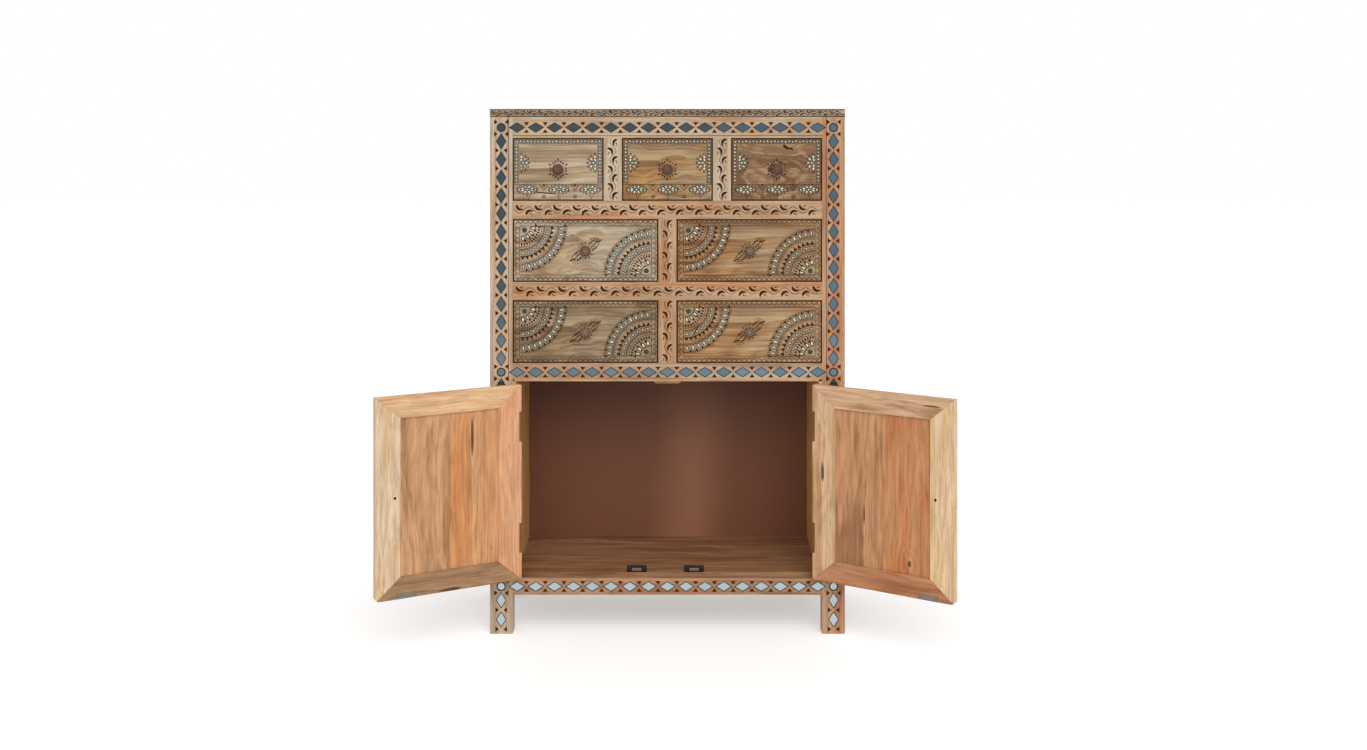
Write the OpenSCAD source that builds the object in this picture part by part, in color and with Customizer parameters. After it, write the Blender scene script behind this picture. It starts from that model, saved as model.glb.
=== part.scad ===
// Chest of drawers: three small drawers and four wide ones over a two-door cupboard.
// The front is plain wood with rows of diamond mirrors let into it. It stands on four legs.
// X runs along the width, Y from the front to the back, Z up from the floor.

/* [Carcass] */
// Width over the posts
body_w = 900; // [840:1:1000]
// Depth from the front of the posts to the back panel's rear face
body_d = 355; // [345:1:420]
// Height of the legs below the bottom rail
leg_h = 99; // [60:1:140]
// Height of the bottom rail
bottom_rail_h = 42; // [36:1:60]
// Clear height of the cupboard, from the bottom rail to the head batten
door_opening_h = 499; // [420:1:600]
// Thickness of the batten under the head rail
batten_t = 4.5; // [3:0.5:8]
// Depth of the batten under the head rail
batten_d = 46; // [46:1:60]
// How far the batten stops short of the left post
batten_short_left = 4; // [1:0.5:12]
// How far the batten stops short of the right post
batten_short_right = 8; // [1:0.5:12]
// Height of the rail over the cupboard
head_rail_h = 41.5; // [36:0.5:60]
// Height of each rail between two rows of drawers
mid_rail_h = 46; // [36:1:60]
// Height of the rail under the top board
top_rail_h = 52.5; // [44:0.5:70]
// Thickness of the top board
top_t = 21; // [16:0.5:30]
// Width of the posts, seen from the front
post_w = 58; // [50:1:70]
// Depth of the posts, seen from the side
post_d = 45; // [36:1:50]
// Thickness of the front rails and dividers
rail_t = 22; // [21:0.5:28]
// Width of the upright dividers between drawers
divider_w = 46; // [36:1:60]
// Length of the rail tenons
tenon_l = 30; // [15:1:36]
// Thickness of the tenons
tenon_t = 9; // [6:0.5:12]
// Height left above and below each tenon
tenon_shoulder = 6; // [4:0.5:9]
// Length of the stub tenons on the upright dividers
stub_l = 8; // [4:1:12]

/* [Sides and back] */
// Thickness of the side and back rails
side_rail_t = 21; // [19:0.5:26]
// Height of the side rails
side_rail_h = 48; // [36:1:60]
// Height of the two back rails
back_rail_h = 32; // [24:1:40]
// Thickness of the side panels
side_panel_t = 7; // [4:0.5:8]
// How far the side panels lie behind the posts' outer faces
side_recess = 8; // [5:0.5:9]
// Depth of the grooves that hold the side panels
side_groove = 6; // [3:0.5:9]
// Thickness of the back panel
back_t = 5; // [3:0.5:8]
// Width of the rebate that holds the back panel
back_rebate = 12; // [8:1:20]

/* [Inside] */
// Thickness of the boards that the drawers run on
dust_t = 8; // [5:0.5:12]
// Height of the drawer guides over the boards
guide_h = 20; // [12:1:40]
// Thickness of the cupboard's side linings
lining_t = 8; // [6:0.5:12]
// Thickness of the floor planks
floor_t = 18; // [12:0.5:24]
// Height of the floor's face over the bottom rail, which stops the doors
floor_lift = 8; // [4:0.5:12]
// Number of floor planks
floor_planks = 5; // [3:1:7]
// Width of the bearers under the floor
bearer_w = 20; // [14:1:30]
// Length of the door stop block
stop_l = 71; // [40:1:100]
// Depth of the door stop block
stop_d = 24; // [14:1:24]
// Height of the door stop block
stop_h = 9.5; // [7:0.5:14]
// Slope cut off each end of the door stop block
stop_chamfer = 6; // [2:0.5:6]

/* [Drawers] */
// Height of each row of drawers
drawer_opening_h = 159.5; // [140:0.5:190]
// Gap round each drawer front
drawer_gap = 1.2; // [0.6:0.1:3]
// Gap between a drawer's side and the board that it runs on
runner_gap = 0.3; // [0.2:0.1:0.8]
// Thickness of the drawer fronts
front_t = 18; // [14:0.5:21]
// Length of a drawer, front to back
drawer_l = 330; // [240:1:330]
// Height of the drawer sides
side_h = 120; // [80:1:130]
// Thickness of the drawer sides and backs
side_t = 10; // [8:0.5:14]
// Thickness of the drawer bottoms
bottom_t = 4; // [3:0.5:6]
// Height of the wood under a drawer bottom
bottom_lift = 8; // [6:0.5:12]
// Depth of the grooves that hold a drawer bottom
bottom_groove = 4.5; // [3:0.5:6]

/* [Doors] */
// Gap over and under the doors
door_gap_z = 5; // [3:0.5:8]
// Gap between a door's hinge edge and the lining
hinge_gap = 4; // [3.5:0.1:4.5]
// Gap between the two closed doors
meeting_gap = 4; // [2:0.5:8]
// Thickness of the doors
door_t = 20; // [16:0.5:20]
// Width of the upright door members
stile_w = 62; // [52:1:75]
// Height of the level door members
door_rail_h = 53; // [45:1:70]
// Thickness of the door panels
door_panel_t = 10; // [6:0.5:12]
// Depth of the grooves that hold the door panels
door_groove = 9; // [5:0.5:12]
// Rounding of each door's lower free corner
door_corner_r = 9; // [3:0.5:16]
// How far the left door stands open
left_open = 151; // [20:0.5:168]
// How far the right door stands open
right_open = 147.5; // [20:0.5:168]
// Distance from a door's free edge to its knob
door_knob_in = 48; // [34:1:54]

/* [Hinges and catches] */
// Length of a hinge
hinge_l = 75; // [50:1:90]
// Distance from a door's end to its hinge
hinge_end = 67; // [50:1:90]
// Radius of the hinge knuckle
knuckle_r = 4; // [3:0.1:4.4]
// Radius of the hinge pin
hinge_pin_r = 1.8; // [1.2:0.1:2.1]
// Thickness of the hinge leaves
leaf_t = 2.2; // [1.5:0.1:2.4]
// Width of the hinge leaves
leaf_w = 20; // [14:1:20]
// Depth of the notch in the door for a hinge
hinge_notch = 6.5; // [6.3:0.1:6.9]
// Length of a magnetic catch
catch_l = 50; // [40:1:60]
// Depth of a magnetic catch
catch_d = 14; // [10:1:18]
// Height of a magnetic catch
catch_h = 16; // [12:1:20]
// Distance of the left catch from the middle
catch_left = 78; // [60:1:120]
// Distance of the right catch from the middle
catch_right = 68; // [60:1:120]
// Length of a strike plate on a door
strike_l = 52; // [40:1:60]
// Height of a strike plate
strike_h = 13; // [9:1:16]
// Thickness of a strike plate
strike_t = 1.2; // [0.8:0.1:1.5]

/* [Knobs] */
// Radius of a drawer knob
knob_r = 15; // [13:0.5:24]
// Radius of a door knob
door_knob_r = 15; // [12:0.5:20]
// How far a knob stands out
knob_out = 24; // [18:0.5:34]
// Radius of a knob's neck
neck_r = 8.5; // [6:0.5:11]
// Radius of a knob's dowel
dowel_r = 3; // [2:0.1:5]
// Length of a knob's dowel
dowel_l = 14; // [8:0.5:14]

/* [Mirrors] */
// Number of mirrors along each rail
rail_mirrors = 17; // [11:1:18]
// Distance from the end of a rail to its first mirror's middle
mirror_end = 11; // [8:0.5:30]
// Length of a diamond mirror
mirror_l = 42.4; // [30:0.1:43]
// Width of a diamond mirror
mirror_w = 26.4; // [16:0.1:30]
// Radius of a round mirror
round_mirror_r = 11.4; // [7:0.1:12]
// Distance from a round mirror's middle to the next diamond's
round_step = 35; // [34.5:0.5:40]
// Wished distance between the diamonds on a post
post_pitch = 46; // [45:0.5:60]
// Distance between the diamonds on a leg
leg_pitch = 48.5; // [45:0.5:60]
// Thickness of the mirror glass
glass_t = 1.8; // [1:0.1:3]
// How far the glass lies below the wood
glass_sunk = 0.4; // [0:0.1:1]

/* [Clearances] */
// Gap round a tenon, a panel edge or a glass in its seat
fit_gap = 0.2; // [0.1:0.05:0.4]
// Gap between a hinge pin and its knuckles
pin_gap = 0.08; // [0.05:0.01:0.1]
// Gap between one knuckle and the next
ring_gap = 0.4; // [0.3:0.05:0.8]
// Gap between moving and fixed faces at the hinges
swing_gap = 0.4; // [0.3:0.05:1]

/* [Hidden] */
$fn = 48;
LEFT = -1;
RIGHT = 1;
// Overshoot that keeps a cut's faces off the faces that it cuts
cut = 1;

// Heights of the carcass, from the floor up
opening_z = leg_h + bottom_rail_h;
batten_z = opening_z + door_opening_h;
head_rail_z = batten_z + batten_t;
lower_row_z = head_rail_z + head_rail_h;
lower_mid_z = lower_row_z + drawer_opening_h;
middle_row_z = lower_mid_z + mid_rail_h;
upper_mid_z = middle_row_z + drawer_opening_h;
upper_row_z = upper_mid_z + mid_rail_h;
top_rail_z = upper_row_z + drawer_opening_h;
top_z = top_rail_z + top_rail_h;
floor_top = opening_z + floor_lift;
floor_z = floor_top - floor_t;

// Widths and depths of the carcass
half_w = body_w / 2;
inner = half_w - post_w;
post_x = half_w - post_w / 2;
back_y = body_d - back_t;
rear_post_y = body_d - post_d;
lining_face = inner - lining_t;
panel_out = half_w - side_recess;
panel_in = panel_out - side_panel_t;
side_rail_in = half_w - side_rail_t;

// Closed doors: the pin stands in front of the faces and off the lining
door_z = opening_z + door_gap_z;
door_h = door_opening_h - 2 * door_gap_z;
door_w = lining_face - hinge_gap - meeting_gap / 2;
pin_in = knuckle_r + 1;
pin_x = lining_face - pin_in;
pin_y = -(knuckle_r + swing_gap);
door_edge = hinge_gap - pin_in;

// The whole is shifted so that the origin lies under the middle of its depth
reach = [door_edge + door_w, door_t - pin_y];
left_front = -pin_y + reach[0] * sin(left_open) - reach[1] * cos(left_open);
right_front = -pin_y + reach[0] * sin(right_open) - reach[1] * cos(right_open);
shift_y = (max(left_front, right_front) - body_d) / 2;

// Drawer openings: the left end and width of each, and the height of its row
narrow = (2 * inner - 2 * divider_w) / 3;
wide = (2 * inner - divider_w) / 2;
function narrow_x(i) = -inner + i * (narrow + divider_w);
function wide_x(i) = -inner + i * (wide + divider_w);
divider_x = [-narrow / 2 - divider_w / 2, narrow / 2 + divider_w / 2];

// Mirrors: the places along a rail, and up a post between two round ones
rail_pitch = (2 * inner - 2 * mirror_end) / (rail_mirrors - 1);
function rail_mirror_x(i) = -inner + mirror_end + i * rail_pitch;
round_z = [top_rail_z + top_rail_h / 2, head_rail_z - batten_t + (head_rail_h + batten_t) / 2,
    leg_h + bottom_rail_h / 2];
function steps(a, b) = max(1, round((a - b - 2 * round_step) / post_pitch));
function column(a, b) = [for (i = [0:steps(a, b)])
    a - round_step - i * (a - b - 2 * round_step) / steps(a, b)];
leg_mirrors = [for (i = [0:max(0, floor((round_z[2] - round_step - mirror_l * 0.6) / leg_pitch))])
    round_z[2] - round_step - i * leg_pitch];
post_diamonds = concat(column(round_z[0], round_z[1]), column(round_z[1], round_z[2]), leg_mirrors);
glass_seat = glass_t + glass_sunk;

// A box between two corners
module block(low, high) {
    translate(low) cube(high - low);
}

// An upright plate: the outline is drawn in X and Z, and the plate is t deep from Y = 0
module upright(t) {
    translate([0, t, 0]) rotate([90, 0, 0]) linear_extrude(height = t) children();
}

// A diamond outline, tips along X and Z
module diamond(along_x, along_z) {
    polygon([[-along_x / 2, 0], [0, -along_z / 2], [along_x / 2, 0], [0, along_z / 2]]);
}

// The mirror glasses of one rail; grow widens them into their seats
module rail_glasses(z, y, t, grow, which) {
    for (i = which)
        translate([rail_mirror_x(i), y, z]) upright(t) diamond(mirror_l + grow, mirror_w + grow);
}

// The mirror glasses of one post
module post_glasses(side, y, t, grow) {
    for (z = post_diamonds)
        translate([side * post_x, y, z]) upright(t) diamond(mirror_w + grow, mirror_l + grow);
    for (z = round_z)
        translate([side * post_x, y, z]) upright(t) circle(r = round_mirror_r + grow / 2);
}

// A front rail with a tenon at each end
module tenoned_rail(z, h) {
    block([-inner, 0, z], [inner, rail_t, z + h]);
    for (side = [LEFT, RIGHT]) rail_tenon(side, z, h, 0);
}

// A rail tenon, or with a gap the mortise for it
module rail_tenon(side, z, h, gap) {
    y0 = (rail_t - tenon_t) / 2 - gap;
    x0 = inner - (gap > 0 ? cut : 0);
    translate([side > 0 ? x0 : -inner - tenon_l - gap, y0, z + tenon_shoulder - gap])
        cube([tenon_l + gap + (gap > 0 ? cut : 0), tenon_t + 2 * gap, h - 2 * tenon_shoulder + 2 * gap]);
}

module front_rails_of_post(side, gap) {
    rail_tenon(side, leg_h, bottom_rail_h, gap);
    rail_tenon(side, head_rail_z, head_rail_h, gap);
    rail_tenon(side, lower_mid_z, mid_rail_h, gap);
    rail_tenon(side, upper_mid_z, mid_rail_h, gap);
    rail_tenon(side, top_rail_z, top_rail_h, gap);
}

// The dividers' stub tenons, or with a gap the mortises for them
module divider_tenons(gap) {
    size = [divider_w - 2 * tenon_shoulder + 2 * gap, tenon_t + 2 * gap, 0];
    for (x = divider_x) translate([x - size[0] / 2, (rail_t - size[1]) / 2, upper_row_z - stub_l - gap])
        cube(size + [0, 0, drawer_opening_h + 2 * stub_l + 2 * gap]);
    for (z = [lower_row_z, middle_row_z])
        translate([-size[0] / 2, (rail_t - size[1]) / 2, z - stub_l - gap])
            cube(size + [0, 0, drawer_opening_h + 2 * stub_l + 2 * gap]);
}

// Side rails, and with a gap the mortises for their tenons
side_rail_zs = [leg_h, batten_z, top_z - side_rail_h];
side_tenon_l = tenon_l * 0.6;
module side_rail_tenons(side, gap) {
    x0 = half_w - side_rail_t / 2 - tenon_t / 2 - gap;
    for (z = side_rail_zs)
        for (end = [post_d - side_tenon_l - gap, rear_post_y - (gap > 0 ? cut : 0)])
            translate([side > 0 ? x0 : -x0 - tenon_t - 2 * gap, end, z + tenon_shoulder - gap])
                cube([tenon_t + 2 * gap, side_tenon_l + gap + (gap > 0 ? cut : 0),
                    side_rail_h - 2 * tenon_shoulder + 2 * gap]);
}

// The panels of one side; grow widens them into their grooves
module panel_pair(side, grow) {
    x0 = panel_in - grow;
    y0 = post_d - side_groove + fit_gap - grow;
    for (i = [0, 1]) {
        z0 = side_rail_zs[i] + side_rail_h - side_groove + fit_gap - grow;
        z1 = side_rail_zs[i + 1] + side_groove - fit_gap + grow;
        translate([side > 0 ? x0 : -x0 - side_panel_t - 2 * grow, y0, z0])
            cube([side_panel_t + 2 * grow, body_d - 2 * y0, z1 - z0]);
    }
}

module top_board() {
    color("#8d7a62") block([-half_w, 0, top_z], [half_w, body_d, top_z + top_t]);
}

module front_post(side) {
    color("#c4a882") difference() {
        block([side > 0 ? inner : -half_w, 0, 0], [side > 0 ? half_w : -inner, post_d, top_z]);
        post_glasses(side, -cut, glass_seat + cut, 2 * fit_gap);
        for (z = round_z) rail_glasses(z, -cut, glass_seat + cut, 2 * fit_gap,
            [side > 0 ? rail_mirrors - 1 : 0]);
        front_rails_of_post(side, fit_gap);
        side_rail_tenons(side, fit_gap);
        panel_pair(side, fit_gap);
    }
}

module rear_posts() {
    color("#b89368") for (side = [LEFT, RIGHT]) difference() {
        block([side > 0 ? inner : -half_w, rear_post_y, 0], [side > 0 ? half_w : -inner, body_d, top_z]);
        block([side > 0 ? inner - cut : -inner - back_rebate - fit_gap, back_y, leg_h],
            [side > 0 ? inner + back_rebate + fit_gap : -inner + cut, body_d + cut, top_z + cut]);
        side_rail_tenons(side, fit_gap);
        panel_pair(side, fit_gap);
    }
}

// A rail whose face carries a row of diamond mirrors
module mirror_rail(z, h, mirror_z) {
    color("#c4a882") difference() {
        tenoned_rail(z, h);
        rail_glasses(mirror_z, -cut, glass_seat + cut, 2 * fit_gap, [0:rail_mirrors - 1]);
        divider_tenons(fit_gap);
    }
}

module mid_rail(z) {
    color("#c1a582") difference() {
        tenoned_rail(z, mid_rail_h);
        divider_tenons(fit_gap);
    }
}

module row_dividers() {
    color("#c1a582") {
        for (x = divider_x) block([x - divider_w / 2, 0, upper_row_z],
            [x + divider_w / 2, rail_t, top_rail_z]);
        for (z = [lower_row_z, middle_row_z]) block([-divider_w / 2, 0, z],
            [divider_w / 2, rail_t, z + drawer_opening_h]);
        divider_tenons(0);
    }
}

module side_and_back_rails() {
    color("#b89368") {
        for (side = [LEFT, RIGHT]) for (z = side_rail_zs) difference() {
            union() {
                block([side > 0 ? side_rail_in : -half_w, post_d, z],
                    [side > 0 ? half_w : -side_rail_in, rear_post_y, z + side_rail_h]);
                intersection() {
                    side_rail_tenons(side, 0);
                    block([-half_w, 0, z], [half_w, body_d, z + side_rail_h]);
                }
            }
            panel_pair(side, fit_gap);
        }
        for (z = [floor_z - back_rail_h, top_z - back_rail_h])
            block([-inner, back_y - side_rail_t, z], [inner, back_y, z + back_rail_h]);
    }
}

module side_panels() {
    color("#b58a5c") for (side = [LEFT, RIGHT]) panel_pair(side, 0);
}

module back_panel() {
    color("#613e28") block([-inner - back_rebate, back_y, leg_h], [inner + back_rebate, body_d, top_z]);
}

module dust_boards() {
    color("#6b4a32") for (z = [lower_row_z, middle_row_z, upper_row_z])
        block([-inner, rail_t, z - dust_t], [inner, back_y, z]);
}

module drawer_guides() {
    color("#a37c52") {
        for (z = [lower_row_z, middle_row_z, upper_row_z]) for (side = [LEFT, RIGHT])
            block([side > 0 ? inner : -side_rail_in, post_d, z - dust_t],
                [side > 0 ? side_rail_in : -inner, rear_post_y, z + guide_h]);
        for (x = divider_x) block([x - divider_w / 2, rail_t, upper_row_z],
            [x + divider_w / 2, back_y, upper_row_z + guide_h]);
        for (z = [lower_row_z, middle_row_z]) block([-divider_w / 2, rail_t, z],
            [divider_w / 2, back_y, z + guide_h]);
    }
}

module cupboard_floor() {
    plank = (back_y - rail_t) / floor_planks;
    color("#7e5e47") for (i = [0:floor_planks - 1])
        block([-inner, rail_t + i * plank, floor_z],
            [inner, rail_t + (i + 1) * plank - (i < floor_planks - 1 ? fit_gap : 0), floor_top]);
}

module floor_bearers() {
    color("#8a6847") for (x = [-inner, -bearer_w / 2, inner - bearer_w])
        block([x, rail_t, floor_z - back_rail_h], [x + bearer_w, back_y - side_rail_t, floor_z]);
}

// Each lining stands on the floor, laps the bottom rail, and carries the lowest dust board
module cupboard_linings() {
    color("#8f643c") for (side = [LEFT, RIGHT]) {
        x0 = side > 0 ? lining_face : -inner;
        union() {
            block([x0, 0, opening_z], [x0 + lining_t, rail_t, batten_z]);
            block([x0, rail_t, floor_top], [x0 + lining_t, batten_d, batten_z]);
            block([x0, batten_d, floor_top], [x0 + lining_t, back_y, lower_row_z - dust_t]);
        }
    }
}

module door_stop() {
    color("#c9a274") {
        block([-inner + batten_short_left, 0, batten_z],
            [inner - batten_short_right, batten_d, head_rail_z]);
        translate([0, rail_t, batten_z]) upright(stop_d) polygon([
            [-stop_l / 2, -fit_gap / 2], [-stop_l / 2, -(stop_h - stop_chamfer)],
            [-stop_l / 2 + stop_chamfer, -stop_h], [stop_l / 2 - stop_chamfer, -stop_h],
            [stop_l / 2, -(stop_h - stop_chamfer)], [stop_l / 2, -fit_gap / 2]]);
    }
}

// A magnetic catch: a foot with two screw holes, a case, and two pole plates at the front
foot_t = 3;
pole_t = 1.5;
module magnetic_catches() {
    ear = catch_d / 2;
    case_l = catch_l - 2 * catch_d;
    color("#33201c") for (x = [-catch_left, catch_right]) translate([x, rail_t, floor_top]) {
        difference() {
            union() {
                block([-catch_l / 2 + ear, 0, 0], [catch_l / 2 - ear, catch_d, foot_t]);
                for (end = [LEFT, RIGHT]) translate([end * (catch_l / 2 - ear), ear, 0])
                    cylinder(r = ear, h = foot_t + 2);
                block([-case_l / 2 - ear / 2, 0, 0], [case_l / 2 + ear / 2, catch_d, catch_h]);
            }
            for (end = [LEFT, RIGHT]) translate([end * (catch_l / 2 - ear + 1), ear, -cut])
                cylinder(r = 1.8, h = foot_t + 2 + 2 * cut);
            for (z = [catch_h * 0.25, catch_h * 0.65])
                block([-case_l / 2, -cut, z], [case_l / 2, pole_t, z + pole_t]);
        }
    }
}

// The hinge's knuckles: five rings in turn, the odd ones on the fixed leaf
rings = 5;
ring_l = hinge_l / rings;
hinge_zs = [door_z + hinge_end, door_z + door_h - hinge_end - hinge_l];
leaf_back = leaf_w + pin_y;
module fixed_leaf() {
    difference() {
        union() {
            block([-pin_in, swing_gap, 0], [-pin_in + leaf_t, leaf_back - pin_y, hinge_l]);
            for (i = [0:2:rings - 1]) translate([0, 0, i * ring_l + ring_gap / 2]) {
                cylinder(r = knuckle_r, h = ring_l - ring_gap);
                block([-pin_in, 0, 0], [-pin_in + leaf_t, knuckle_r + 2 * swing_gap, ring_l - ring_gap]);
            }
            translate([0, 0, -2]) cylinder(r = hinge_pin_r, h = hinge_l + 4);
            for (z = [-2, hinge_l]) translate([0, 0, z]) cylinder(r = hinge_pin_r + 1, h = 2);
        }
        for (i = [1:2:rings - 2]) block([-pin_in - cut, -knuckle_r, i * ring_l - ring_gap / 2],
            [-hinge_pin_r, knuckle_r + swing_gap, (i + 1) * ring_l + ring_gap / 2]);
    }
}

module moving_leaf() {
    leaf_x = door_edge + hinge_notch;
    difference() {
        union() {
            block([leaf_x - leaf_t, knuckle_r + 2 * swing_gap, 0], [leaf_x, leaf_w, hinge_l]);
            for (i = [1:2:rings - 2]) translate([0, 0, i * ring_l + ring_gap / 2]) {
                cylinder(r = knuckle_r, h = ring_l - ring_gap);
                block([leaf_x - leaf_t, 0, 0], [leaf_x, knuckle_r + 2 * swing_gap + cut, ring_l - ring_gap]);
            }
        }
        translate([0, 0, -cut]) cylinder(r = hinge_pin_r + pin_gap, h = hinge_l + 2 * cut);
    }
}

module fixed_hinge_leaves() {
    color("#5b5148") for (side = [LEFT, RIGHT]) mirror([side > 0 ? 1 : 0, 0, 0])
        translate([-pin_x, pin_y, 0]) for (z = hinge_zs) translate([0, 0, z]) fixed_leaf();
}

module carcass_mirrors() {
    color("#8fa6b4") {
        for (z = round_z) rail_glasses(z, glass_sunk, glass_t, 0, [0:rail_mirrors - 1]);
        for (side = [LEFT, RIGHT]) post_glasses(side, glass_sunk, glass_t, 0);
    }
}

// A door piece is drawn closed, as on the left, with the hinge pin at X = 0 and Y = 0
module hung(side) {
    mirror([side > 0 ? 1 : 0, 0, 0]) translate([-pin_x, pin_y, 0])
        rotate([0, 0, -(side > 0 ? right_open : left_open)]) children();
}

// An outline in the door's plane, measured from the hinge edge and the door's foot
module in_door(y, t) {
    translate([door_edge, -pin_y + y, door_z]) upright(t) children();
}

module door_panel_space(grow) {
    in_door((door_t - door_panel_t) / 2 - grow, door_panel_t + 2 * grow)
        translate([stile_w - door_groove - grow, door_rail_h - door_groove - grow])
            square([door_w - 2 * stile_w + 2 * door_groove + 2 * grow,
                door_h - 2 * door_rail_h + 2 * door_groove + 2 * grow]);
}

module door_member(outline) {
    difference() {
        in_door(0, door_t) difference() {
            polygon(outline);
            translate([door_w - door_corner_r, 0]) difference() {
                translate([0, -cut]) square([door_corner_r + cut, door_corner_r + cut]);
                translate([0, door_corner_r]) circle(r = door_corner_r);
            }
        }
        door_panel_space(fit_gap);
        for (z = hinge_zs) block([door_edge - cut, 0, z - fit_gap],
            [door_edge + hinge_notch, -pin_y + door_t + cut, z + hinge_l + fit_gap]);
        translate([door_edge + door_w - door_knob_in, 0, door_z + door_h / 2]) rotate([-90, 0, 0])
            cylinder(r = dowel_r + fit_gap, h = -pin_y + door_t + cut);
    }
}

module door_frame(side) {
    low = door_rail_h;
    high = door_h - door_rail_h;
    free = door_w - stile_w;
    color("#d8a87b") hung(side) {
        door_member([[0, 0], [stile_w, low], [stile_w, high], [0, door_h]]);
        door_member([[door_w, 0], [door_w, door_h], [free, high], [free, low]]);
        door_member([[fit_gap, 0], [door_w - fit_gap, 0], [free - fit_gap, low], [stile_w + fit_gap, low]]);
        door_member([[fit_gap, door_h], [stile_w + fit_gap, high], [free - fit_gap, high],
            [door_w - fit_gap, door_h]]);
    }
}

// Two boards, laid edge to edge
module door_panel(side) {
    color("#b9743f") hung(side) for (half = [0, 1]) intersection() {
        door_panel_space(0);
        translate([door_edge + half * (door_w + fit_gap) / 2, 0, door_z])
            cube([(door_w - fit_gap) / 2, -pin_y + door_t, door_h]);
    }
}

module door_hinge_leaves(side) {
    color("#5b5148") hung(side) for (z = hinge_zs) translate([0, 0, z]) moving_leaf();
}

module strike_plate(side) {
    x = pin_x - (side > 0 ? catch_right : catch_left);
    color("#8b8880") hung(side) difference() {
        block([x - strike_l / 2, -pin_y + door_t, door_z + 0.5],
            [x + strike_l / 2, -pin_y + door_t + strike_t, door_z + 0.5 + strike_h]);
        for (end = [LEFT, RIGHT]) translate([x + end * strike_l * 0.4, -pin_y + door_t - cut,
            door_z + 0.5 + strike_h / 2]) rotate([-90, 0, 0]) cylinder(r = 2.2, h = strike_t + 2 * cut);
    }
}

// A turned knob on Y = 0 that stands out towards the front, with its dowel behind
module knob(r) {
    neck_l = knob_out * 0.42;
    rim = knob_out * 0.12;
    rotate([90, 0, 0]) rotate_extrude($fn = 64) polygon([
        [0, -dowel_l], [dowel_r, -dowel_l], [dowel_r, 0], [neck_r + 2, 0], [neck_r, 2],
        [neck_r, neck_l - 2], [r - 2, neck_l + rim / 2], [r, neck_l + rim], [r, neck_l + 2 * rim],
        [r - 2.5, knob_out - rim], [r * 0.6, knob_out - rim / 4], [r * 0.3, knob_out], [0, knob_out]]);
}

module door_knob(side) {
    color("#b48a5e") hung(side) translate([door_edge + door_w - door_knob_in, -pin_y,
        door_z + door_h / 2]) knob(door_knob_r);
}

// Drawers: x is the left end of the opening, w its width and z its foot
module drawer_front(x, w, z) {
    groove_z = z + runner_gap + bottom_lift;
    color("#a59478") difference() {
        block([x + drawer_gap, 0, z + drawer_gap],
            [x + w - drawer_gap, front_t, z + drawer_opening_h - drawer_gap]);
        block([x + drawer_gap + side_t - bottom_groove, front_t - bottom_groove, groove_z - fit_gap / 2],
            [x + w - drawer_gap - side_t + bottom_groove, front_t + cut,
                groove_z + bottom_t + fit_gap / 2]);
        translate([x + w / 2, -cut, z + drawer_opening_h / 2]) rotate([-90, 0, 0])
            cylinder(r = dowel_r + fit_gap, h = front_t + 2 * cut);
    }
}

module drawer_bottom(x, w, z) {
    inset = drawer_gap + side_t - bottom_groove + fit_gap;
    groove_z = z + runner_gap + bottom_lift;
    color("#7d5b3c") block([x + inset, front_t - bottom_groove + fit_gap, groove_z],
        [x + w - inset, drawer_l, groove_z + bottom_t]);
}

module drawer_box(x, w, z) {
    foot = z + runner_gap;
    groove_z = foot + bottom_lift;
    color("#a98558") {
        for (end = [0, 1]) difference() {
            block([x + drawer_gap + end * (w - 2 * drawer_gap - side_t), front_t, foot],
                [x + drawer_gap + side_t + end * (w - 2 * drawer_gap - side_t), drawer_l, foot + side_h]);
            block([x + drawer_gap + side_t - bottom_groove, 0, groove_z - fit_gap / 2],
                [x + w - drawer_gap - side_t + bottom_groove, drawer_l + cut,
                    groove_z + bottom_t + fit_gap / 2]);
        }
        block([x + drawer_gap + side_t + fit_gap, drawer_l - side_t, groove_z + bottom_t],
            [x + w - drawer_gap - side_t - fit_gap, drawer_l, foot + side_h]);
    }
}

module drawer_knob(x, w, z) {
    color("#b48a5e") translate([x + w / 2, 0, z + drawer_opening_h / 2]) knob(knob_r);
}

module placed() {
    translate([0, shift_y, 0]) children();
}

placed() top_board();
placed() front_post(LEFT);  // front_post_left
placed() front_post(RIGHT);  // front_post_right
placed() rear_posts();
placed() mirror_rail(top_rail_z, top_rail_h, round_z[0]);  // top_rail
placed() mid_rail(upper_mid_z);  // upper_mid_rail
placed() mid_rail(lower_mid_z);  // lower_mid_rail
placed() mirror_rail(head_rail_z, head_rail_h, round_z[1]);  // head_rail
placed() mirror_rail(leg_h, bottom_rail_h, round_z[2]);  // bottom_rail
placed() row_dividers();
placed() side_and_back_rails();
placed() side_panels();
placed() back_panel();
placed() dust_boards();
placed() drawer_guides();
placed() cupboard_floor();
placed() floor_bearers();
placed() cupboard_linings();
placed() door_stop();
placed() magnetic_catches();
placed() fixed_hinge_leaves();
placed() carcass_mirrors();
placed() door_frame(LEFT);  // left_door_frame
placed() door_panel(LEFT);  // left_door_panel
placed() door_knob(LEFT);  // left_door_knob
placed() door_hinge_leaves(LEFT);  // left_door_hinge_leaves
placed() strike_plate(LEFT);  // left_door_strike_plate
placed() door_frame(RIGHT);  // right_door_frame
placed() door_panel(RIGHT);  // right_door_panel
placed() door_knob(RIGHT);  // right_door_knob
placed() door_hinge_leaves(RIGHT);  // right_door_hinge_leaves
placed() strike_plate(RIGHT);  // right_door_strike_plate
placed() drawer_front(narrow_x(0), narrow, upper_row_z);  // upper_left_front
placed() drawer_box(narrow_x(0), narrow, upper_row_z);  // upper_left_box
placed() drawer_bottom(narrow_x(0), narrow, upper_row_z);  // upper_left_bottom
placed() drawer_knob(narrow_x(0), narrow, upper_row_z);  // upper_left_knob
placed() drawer_front(narrow_x(1), narrow, upper_row_z);  // upper_middle_front
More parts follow.
